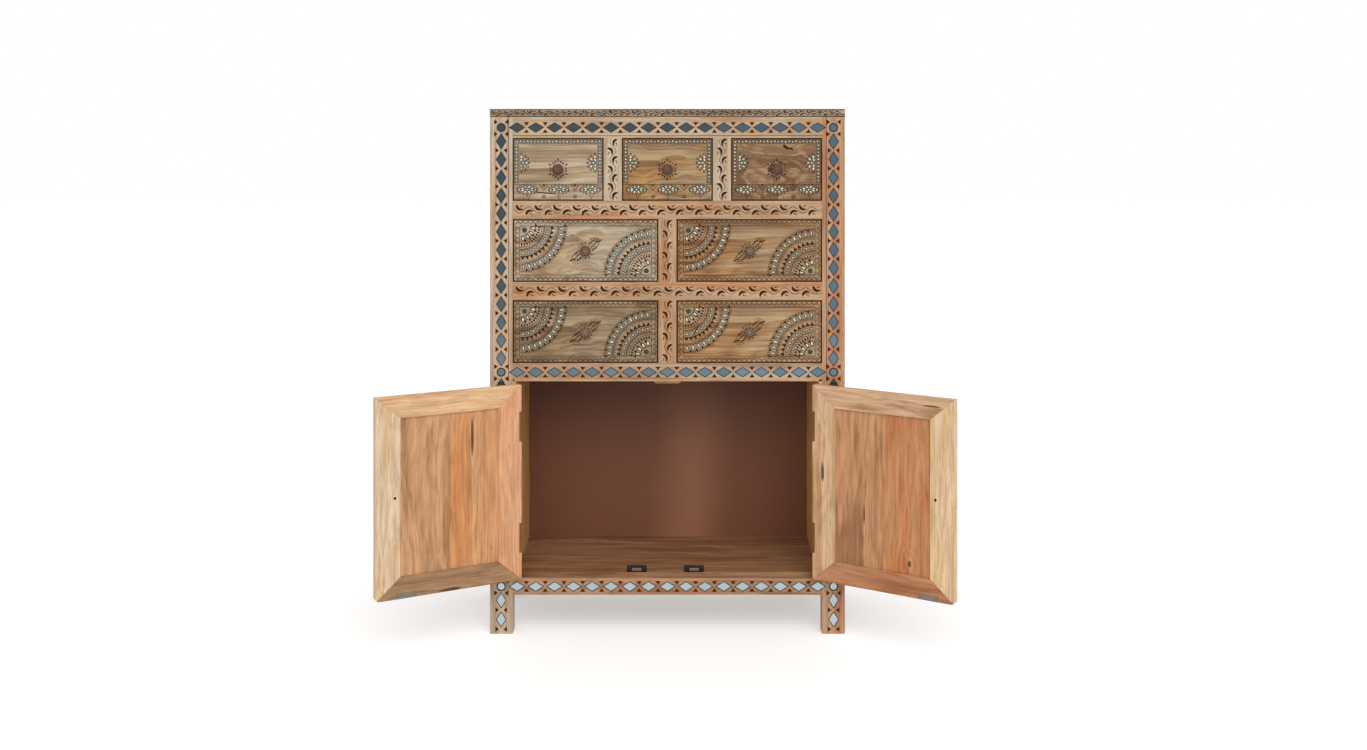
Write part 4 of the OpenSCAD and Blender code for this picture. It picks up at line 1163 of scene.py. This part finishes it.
for side, door in sides.items():
    left, right = sorted((across(side, 0), across(side, DOOR_W)))
    parts = []
    for member, outline in members.items():
        upright = member.endswith("stile")
        finish = door_wood(side, member, upright)
        blank = prism(member, [(across(side, u), DOOR_FOOT + v) for u, v in outline], 0, DOOR_T, 0.7, finish)
        if upright:
            u = STILE / 2 if member == "hinge_stile" else DOOR_W - STILE / 2
            marks, stem = vine(70, 46.1, 16, 55, DOOR_H - 55, (0, -1, across(side, u)),
                               (side, 0, DOOR_FOOT + DOOR_H), DOWN, 0.95)
        else:
            v = MITRE / 2 if member == "foot_rail" else DOOR_H - MITRE / 2
            marks, stem = vine(left + 80, 46.1, 10, left + 66, right - 66, (1, 0, 0), (0, 1, DOOR_FOOT + v),
                               RIGHT, 0.9)
        parts.append(carve(blank, finish, marks, stem))
    piece = swung(joined(door + "_frame_members", parts), side)
    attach(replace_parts(piece, door + "_frame"), door)
    parts = []
    for half, (u0, u1) in {"panel_a": (53, 188.9), "panel_b": (189.1, 325)}.items():
        low_x, high_x = sorted((across(side, u0), across(side, u1)))
        parts.append(plain_board(half, (low_x, 5, DOOR_FOOT + 44), (high_x, 15, DOOR_FOOT + 445),
                                 door_wood(side, half, True), 0.6))
    piece = swung(joined(door + "_panel_boards", parts), side)
    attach(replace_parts(piece, door + "_panel"), door)
    knob_x, knob_z = across(side, DOOR_W - KNOB_INSET), DOOR_FOOT + DOOR_H / 2
    piece = swung(knob(door + "_carved_knob", knob_x, knob_z, knob_wood), side)
    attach(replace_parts(piece, door + "_knob"), door)
    finish_as(door + "_hinge_leaves", hinge_steel)
    finish_as(door + "_strike_plate", strike_steel)
    spots = [((catch_xs[side] + side * end * 20.8, DOOR_T + 1.0, DOOR_FOOT + 7), BACKWARD) for end in (-1, 1)]
    heads = swung(screw_heads(door + "_screws", spots, hinge_steel, 2.6, 0.8), side)
    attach(heads, door)
    spots = [((knob_x, DOOR_T, knob_z), BACKWARD)]
    heads = swung(screw_heads(door + "_knob_screw", spots, catch_dark, 3.6, 1.0), side)
    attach(heads, door)


# The drawer fronts: planks cut flush with the frame and bordered with carving and pale beads.
# The three narrow ones have bead flowers, the four wide ones a quarter fan in two corners.
beading, given, out = new_group("beading", "GeometryNodeTree", [
    ("Geometry", "Geometry", None), ("Material", "Material", None)], [("Geometry", "Geometry")])
dome = add(beading, "GeometryNodeMeshUVSphere", {"Segments": 10, "Rings": 5, "Radius": 0.5}).outputs[0]
dome = add(beading, "GeometryNodeSetShadeSmooth", {"Geometry": dome}).outputs[0]
set_out = instances(beading, toned(beading, given["Geometry"], 2), dome, attribute(beading, "turn"),
                    Scale=attribute(beading, "size"))
beading.links.new(realized(beading, set_out, given["Material"]), out.inputs["Geometry"])

bead_white, tree = new_material("pale beads")
tone = add(tree, "ShaderNodeAttribute", attribute_name="tone").outputs["Fac"]
place = object_place(tree)
cloud = stretched_noise(tree, place, (300, 300, 300), 2)
tint = mix(tree, tone, srgb(240, 238, 222), srgb(186, 186, 164))
tint = mix(tree, product(tree, cloud, 0.3), tint, srgb(160, 160, 140))
end_material(tree, {"Base Color": tint, "Roughness": 0.3})

# For each front: tone, stain, the X and Z where its figure starts, and a knot's size there.
# A burl is its swirl and contrast; a flaw is a hole's X, Z, turn, length and width.
fronts = {
    "upper_left": ((192, 172, 144), (205, 190, 165), (-290, 1180), None),
    "upper_middle": ((175, 146, 108), (255, 196, 112), (-30, 1200), None),
    # On upper_right the knot is centred under the knob, so its dark core shows as a ring round the knob: a
    # knot in the board that also paints the knob's shadow.
    "upper_right": ((172, 138, 102), (160, 128, 100), (272, 1180), (34, 26)),
    "middle_left": ((188, 171, 146), (235, 205, 165), (-241, 1010), (16, 3)),
    "middle_right": ((174, 145, 109), (252, 190, 112), (180, 1000), None),
    "lower_left": ((165, 143, 114), (205, 185, 140), (-250, 780), None),
    "lower_right": ((183, 153, 118), (248, 190, 122), (230, 790), None)}
burls = {"upper_right": (0.13, 1.8), "middle_left": (0.04, 1.15), "upper_middle": (0.03, 1.3),
         "lower_left": (0.03, 1.4)}
flaws = {"upper_left": [(-310, 1117, 0.09, 62, 3.4)], "lower_right": [(72, 767, -1.1, 30, 3.4)],
         "upper_right": [(300, 1233, 0.7, 20, 9), (313, 1229, 0.2, 14, 6)]}


def press_beads(spots, deep, marks, beads):
    """Adds a pale bead for each spot, and the dark hollow that it is pressed into. A spot is x, z,
    width and, where the bead is oval, its length and turn."""
    rim = 2 + deep * 0.9
    for x, z, wide, *oval in spots:
        long, turn = oval or (wide, 0.0)
        marks.append(("cup", x, z, turn, (long + rim, deep, wide + rim)))
        beads.append(("bead", x, z, turn, (long, deep, wide)))


def around(x, z, half_x, half_z, start, sweep, count):
    """Places on an oval round x, z, each with the turn that faces outward."""
    step = sweep / count if sweep == 360 else sweep / (count - 1)
    for i in range(count):
        a = math.radians(start + step * i)
        dx, dz = half_x * math.cos(a), half_z * math.sin(a)
        yield x + dx, z + dz, -math.atan2(dz, dx)


def borders(width, height, insets):
    """Closed grooves that follow a front's edge. The one 0.7 mm in is partly painted shade: a groove cut dark
    at the very edge, which stands in for the shadow in the gap round the front.
    """
    return [[(inset, -inset), (width - inset, -inset), (width - inset, inset - height),
             (inset, inset - height), (inset, -inset)] for inset in insets]


def narrow_front(width, height):
    """Marks, grooves, beads, no mirrors, and sunk grounds of a narrow front, from its upper left corner."""
    marks, spots, sunk = [], [], []
    band, mid, edge, top_pitch, side_pitch = height - 40, 62, 15, 9.2, 8.9
    # Partly painted shade: the groove 0.7 mm in, cut dark at the edge, stands in for the shadow in the gap
    # round the front.
    paths = borders(width, height, (0.7, 1.9)) + [[(2, -band), (width - 2, -band)]]
    rim = [(edge, -edge)] + [(x, z) for x, z, turn in around(edge, -mid, 23, 20.5, 90, -180, 13)]
    rim += [(edge, -band + 2)]
    sunk.append([(2.5, -2.5), (width - 2.5, -2.5), (width - 2.5, -band + 2)] +
                [(width - x, z) for x, z in rim[::-1]] + rim + [(2.5, -band + 2)])
    count = round((width - 20) / top_pitch)
    for i in range(count + 1):
        x = 10 + (width - 20) * i / count
        spots.append((x, -8.2 + (0.9 if i % 2 else -0.9), 4.4))
        marks += [("cup", x + 4.6, -4.6, 0, (3.4, 1.6, 2.2)), ("cup", x + 4.6, -12.2, 0, (3.4, 1.6, 2.2))]
    for mirrored in (False, True):
        more = [(8.4, -17.5 - side_pitch * i, 4.2, 5.0, 0.0)
                for i in range(int((band - 22) / side_pitch) + 1)]
        more += [(x, z, 4.6, 6.6, turn) for x, z, turn in around(edge + 1, -mid, 9, 8, -62, 124, 3)]
        more += [(x, z, 4.8, 8.2, turn) for x, z, turn in around(edge + 1, -mid, 18, 15.5, -74, 148, 5)]
        dark = [("cup", x, z, turn, (3.4, 1.6, 6.4))
                for x, z, turn in around(edge, -mid, 26, 23.5, -76, 152, 7)]
        dark += [("cup", x, -22 - side_pitch * i, 0, (2.2, 1.6, 3.2))
                 for x in (12.9, 4.4) for i in range(int((band - 26) / side_pitch) + 1)]
        if mirrored:
            more = [(width - s[0], s[1], s[2], s[3], math.pi - s[4]) for s in more]
            dark = [(m[0], width - m[1], m[2], math.pi - m[3], m[4]) for m in dark]
        spots += more
        marks += dark
    for x in (0.157 * width, 0.507 * width, 0.857 * width):
        z = -(height - 27.5)
        sunk.append([(x + 24.5 * math.cos(a) * (1 + 0.05 * math.cos(6 * a)), z + 11.5 * math.sin(a) *
                      (1 + 0.10 * math.cos(6 * a))) for a in (2 * math.pi * i / 36 for i in range(36))])
        spots += [(px, pz, 4.6, 7.4, turn) for px, pz, turn in around(x, z, 13, 6.8, 22.5, 360, 8)]
        spots += [(x, z, 4.4), (x - 20.5, z - 1, 4.2, 5.6, 0.0), (x + 20.5, z - 1, 4.2, 5.6, 0.0)]
        marks += [("cup", px, pz, turn, (2.4, 1.6, 5.6))
                  for px, pz, turn in around(x, z, 26.5, 13, 0, 360, 16)]
    for x in (0.342 * width, 0.686 * width):
        marks.append(chip(x, -band - 3, DOWN, 11, 7.5, 2.4))
        for reach in (8, 11.5):
            paths.append([(x - reach, -band - 1), (x, -band - reach - 4.5), (x + reach, -band - 1)])
    for i, x in enumerate((0.17, 0.342, 0.507, 0.686, 0.867)):
        for px, pz, turn in around(x * width, -(height - 9.5), 4.6, 4.6, 30, 360, 6 if i % 2 else 3):
            marks.append(chip(px, pz, turn, 3.4, 5.2, 1.6))
    for a in range(0, 360, 60):
        angle = math.radians(a + 30)
        for radius, lean, long in ((24, 0, 8.5), (20, 0.36, 6.5), (20, -0.36, 6.5)):
            x, z = width / 2 + radius * math.cos(angle + lean), -height / 2 + radius * math.sin(angle + lean)
            marks.append(("cup", x, z, -angle - lean, (long, 1.9, 3.8)))
    beads = []
    press_beads(spots, 2.1, marks, beads)
    return marks, paths, beads, [], sunk


FAN = (18.5, -16)


def polar(radius, degrees):
    """A place in a fan and the turn that faces outward there."""
    a = math.radians(degrees)
    return FAN[0] + radius * math.cos(a), FAN[1] + radius * math.sin(a), -a


def arc(radius, low=0.0, high=-90.0):
    return [polar(radius, low + (high - low) * i / 30)[:2] for i in range(31)]


def ring(count, radius, first=0.5):
    """Places spread evenly over a fan's quarter turn."""
    return [polar(radius, -90 * (i + first) / count) for i in range(count)]


def fan(width, height, half):
    """A quarter fan round the upper left corner, or turned half round for the lower right."""
    spots = [(x, z, 5.2, 10.5, turn) for x, z, turn in ring(4, 33)]
    spots += [(x, z, 4.8) for x, z, turn in ring(8, 70)]
    spots += [(x, z, 4.8, 10.4, turn) for x, z, turn in ring(11, 105)]
    marks, paths = [], []
    for kind, count, radius, first, size, more in (
            ("chip", 5, 41.0, 0.0, (8.4, 2.8, 9.4), 0), ("cup", 11, 48.0, 0.5, (8.0, 2.0, 4.6), 0),
            ("cup", 20, 54.6, 0.5, (3.4, 1.6, 3.0), 0), ("cup", 9, 66, 0.0, (3.4, 1.4, 2.4), 0),
            ("cup", 9, 74, 0.0, (3.0, 1.4, 2.4), 0), ("chip", 11, 83.5, 0.5, (10.0, 3.0, 10.6), 0),
            ("cup", 22, 90.4, 0.5, (3.0, 1.4, 2.8), 0), ("chip", 11, 110.6, 0.02, (8.6, 2.8, 8.6), math.pi),
            ("cup", 30, 118.4, 0.5, (3.6, 1.4, 2.8), 0)):
        marks += [(kind, x, z, turn + more, size) for x, z, turn in ring(count, radius, first)]
    for radius in (26, 59.5, 62, 78, 94, 97, 115.4):
        paths.append(arc(radius))
    sunk = [arc(outer, -1, -89) + arc(inner, -89, -1) for inner, outer in ((63.5, 76), (98, 113.5))]
    mirror = (29, -27)
    if half:
        spots = [(width - s[0], -height - s[1], *s[2:]) for s in spots]
        marks = [(m[0], width - m[1], -height - m[2], m[3] + math.pi, m[4]) for m in marks]
        paths = [[(width - x, -height - z) for x, z in path] for path in paths]
        sunk = [[(width - x, -height - z) for x, z in outline] for outline in sunk]
        mirror = (width - mirror[0], -height - mirror[1])
    marks.append(("round", *mirror, 0, (12.8, 1.6, 12.8)))
    return marks, paths, spots, mirror, sunk


ZIGZAG = 12.6


def zigzag(start, length, middle, flip):
    """A zigzag groove along a border, and the places of the cups in its bends."""
    count = round(length / ZIGZAG)
    path = [(start + length * i / (2 * count), middle + flip * (3.6 if i % 2 else -3.6))
            for i in range(2 * count + 1)]
    return path, [(start + length * (i + 0.5) / count, middle - flip * 1.4) for i in range(count)]


def wide_front(width, height):
    """Marks, grooves, beads, mirrors and sunk grounds of a wide front, from its upper left corner."""
    marks, beads, spots, mirrors, sunk = [], [], [], [], []
    # Partly painted shade: the groove 0.7 mm in, cut dark at the edge, stands in for the shadow in the gap
    # round the front.
    paths = borders(width, height, (0.7, 2.1, 16.6))
    for half in (False, True):
        more_marks, more_paths, more_spots, mirror, more_sunk = fan(width, height, half)
        marks += more_marks
        paths += more_paths
        spots += more_spots
        mirrors.append(mirror)
        sunk += more_sunk
    for z, flip in ((-7.6, 1), (7.6 - height, -1)):
        path, cups = zigzag(6, width - 12, z, flip)
        paths.append(path)
        marks += [("cup", x, z, 0, (3.4, 1.5, 3.0)) for x, z in cups]
    for x, flip in ((7.6, 1), (width - 7.6, -1)):
        path, cups = zigzag(15, height - 30, x, flip)
        paths.append([(x, -z) for z, x in path])
        marks += [("cup", x, -z, 0, (3.0, 1.5, 3.4)) for z, x in cups]
    for x in range(20, int(width) - 17, 5):
        marks += [("cup", x, z, 0, (2.2, 1.2, 2.0)) for z in (-13.6, 13.6 - height)]
    for z in range(20, int(height) - 17, 5):
        marks += [("cup", x, -z, 0, (2.0, 1.2, 2.2)) for x in (13.6, width - 13.6)]
    x, z = width / 2, -height / 2
    wing = [(9, 15), (14, 23), (21.5, 27.5), (29, 27), (40, 27), (35, 21), (31, 13.5), (27, 5), (16, 2)]
    for flip in (1, -1):
        paths.append([(x + flip * dx, z + flip * dz) for dx, dz in wing])
        for dx, dz in ((14, 20), (20, 23.5), (26, 23), (24, 17), (20, 13), (25, 9), (22, 5)):
            marks.append(("cup", x + flip * dx, z + flip * dz, -math.atan2(dz, dx), (6.6, 1.9, 3.2)))
        for dx, dz in ((14.5, 29.5), (20, 32), (25.5, 32.5), (31, 31.5)):
            marks.append(("cup", x + flip * dx, z + flip * dz, -math.atan2(dz, dx), (4.2, 1.7, 2.6)))
        marks.append(chip(x + flip * 34, z + flip * 24, -math.atan2(flip * 8, flip * 20), 5.5, 14, 2.2))
    for a in range(0, 360, 30):
        angle = math.radians(a)
        marks.append(("cup", x + 18.5 * math.cos(angle), z + 18.5 * math.sin(angle), -angle, (5.2, 1.8, 3.0)))
    press_beads(spots, 2.7, marks, beads)
    return marks, paths, beads, mirrors, sunk


def at(marks, x, z):
    """Marks moved to where a front has its upper left corner."""
    return [(mark[0], mark[1] + x, mark[2] + z, *mark[3:]) for mark in marks]


box_wood = make_wood("drawer box wood", (192, 150, 104), (225, 180, 135), ALONG_Y, (0, 0, 0.5), 0.4,
                     gloss=0.2, cross=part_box("upper_left_box")[1].y - 10.2 * mm)
bottom_board = make_wood("drawer bottom wood", (160, 118, 78), (215, 170, 130), ALONG_X, (0, 0.6, 0), 0.4,
                         gloss=0.2)
for name, (tone, stain, (x, z), knot) in fronts.items():
    low, high = ends(name + "_front")
    width, height = high.x - low.x, high.z - low.z
    narrow = name.startswith("upper")
    marks, paths, beads, mirrors, sunk = (narrow_front if narrow else wide_front)(width, height)
    for flaw_x, flaw_z, turn, long, wide in flaws.get(name, ()):
        marks.append(("cup", flaw_x - low.x, flaw_z - high.z, turn, (long, 2.4, wide)))
    swirl, contrast = burls.get(name, (0.0, 1.3))
    finish = make_wood(name.replace("_", " ") + " front wood", tone, stain, ALONG_X,
                       (x * mm, front_y, z * mm), 0.8, 1.1, contrast, knot=knot, swirl=swirl)
    shares = (0.78, 0.8, 0.82) if narrow else (0.88, 0.91, 0.95)
    darker = [channel * share for channel, share in zip(tone, shares)]
    sunk_ground = make_plain(name.replace("_", " ") + " sunk ground", darker, 0.75, 0.0, 0.5, 160, 0.1)
    paths, sunk = ([[(x + low.x, z + high.z) for x, z in path] for path in some] for some in (paths, sunk))
    piece = carve(board(name + "_carved_front", low, high, 0.8), finish, at(marks, low.x, high.z), paths,
                  groove=1.3 if narrow else 1.7, sunk=sunk, floor=sunk_ground)
    body = name + "_drawer"
    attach(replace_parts(piece, name + "_front"), body)
    holder = layout(at(beads, low.x, high.z))
    holder.name = name + "_beads"
    piece = at_front(baked(holder, beading, {"Material": bead_white}))
    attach(piece, body)
    if mirrors:
        disc = turned_plate("disc", 24, 6.3, 6.3, [(1, 1.6), (1, 0.4), (0.95, 0.3)], True)
        holder = layout(at([("round", *spot, 0, (1, 1, 1)) for spot in mirrors], low.x, high.z))
        holder.name = name + "_mirrors"
        piece = at_front(baked(holder, setting, {
            "Disc": disc, "Diamond": disc, "Material": smoked, "Tilt": 0.0}))
        bpy.data.objects.remove(disc)
        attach(piece, body)
    piece = knob(name + "_carved_knob", (low.x + high.x) / 2, (low.z + high.z) / 2,
                 knob_wood if narrow else worn_knob)
    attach(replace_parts(piece, name + "_knob"), body)
    finish_as(name + "_box", box_wood)
    finish_as(name + "_bottom", bottom_board)
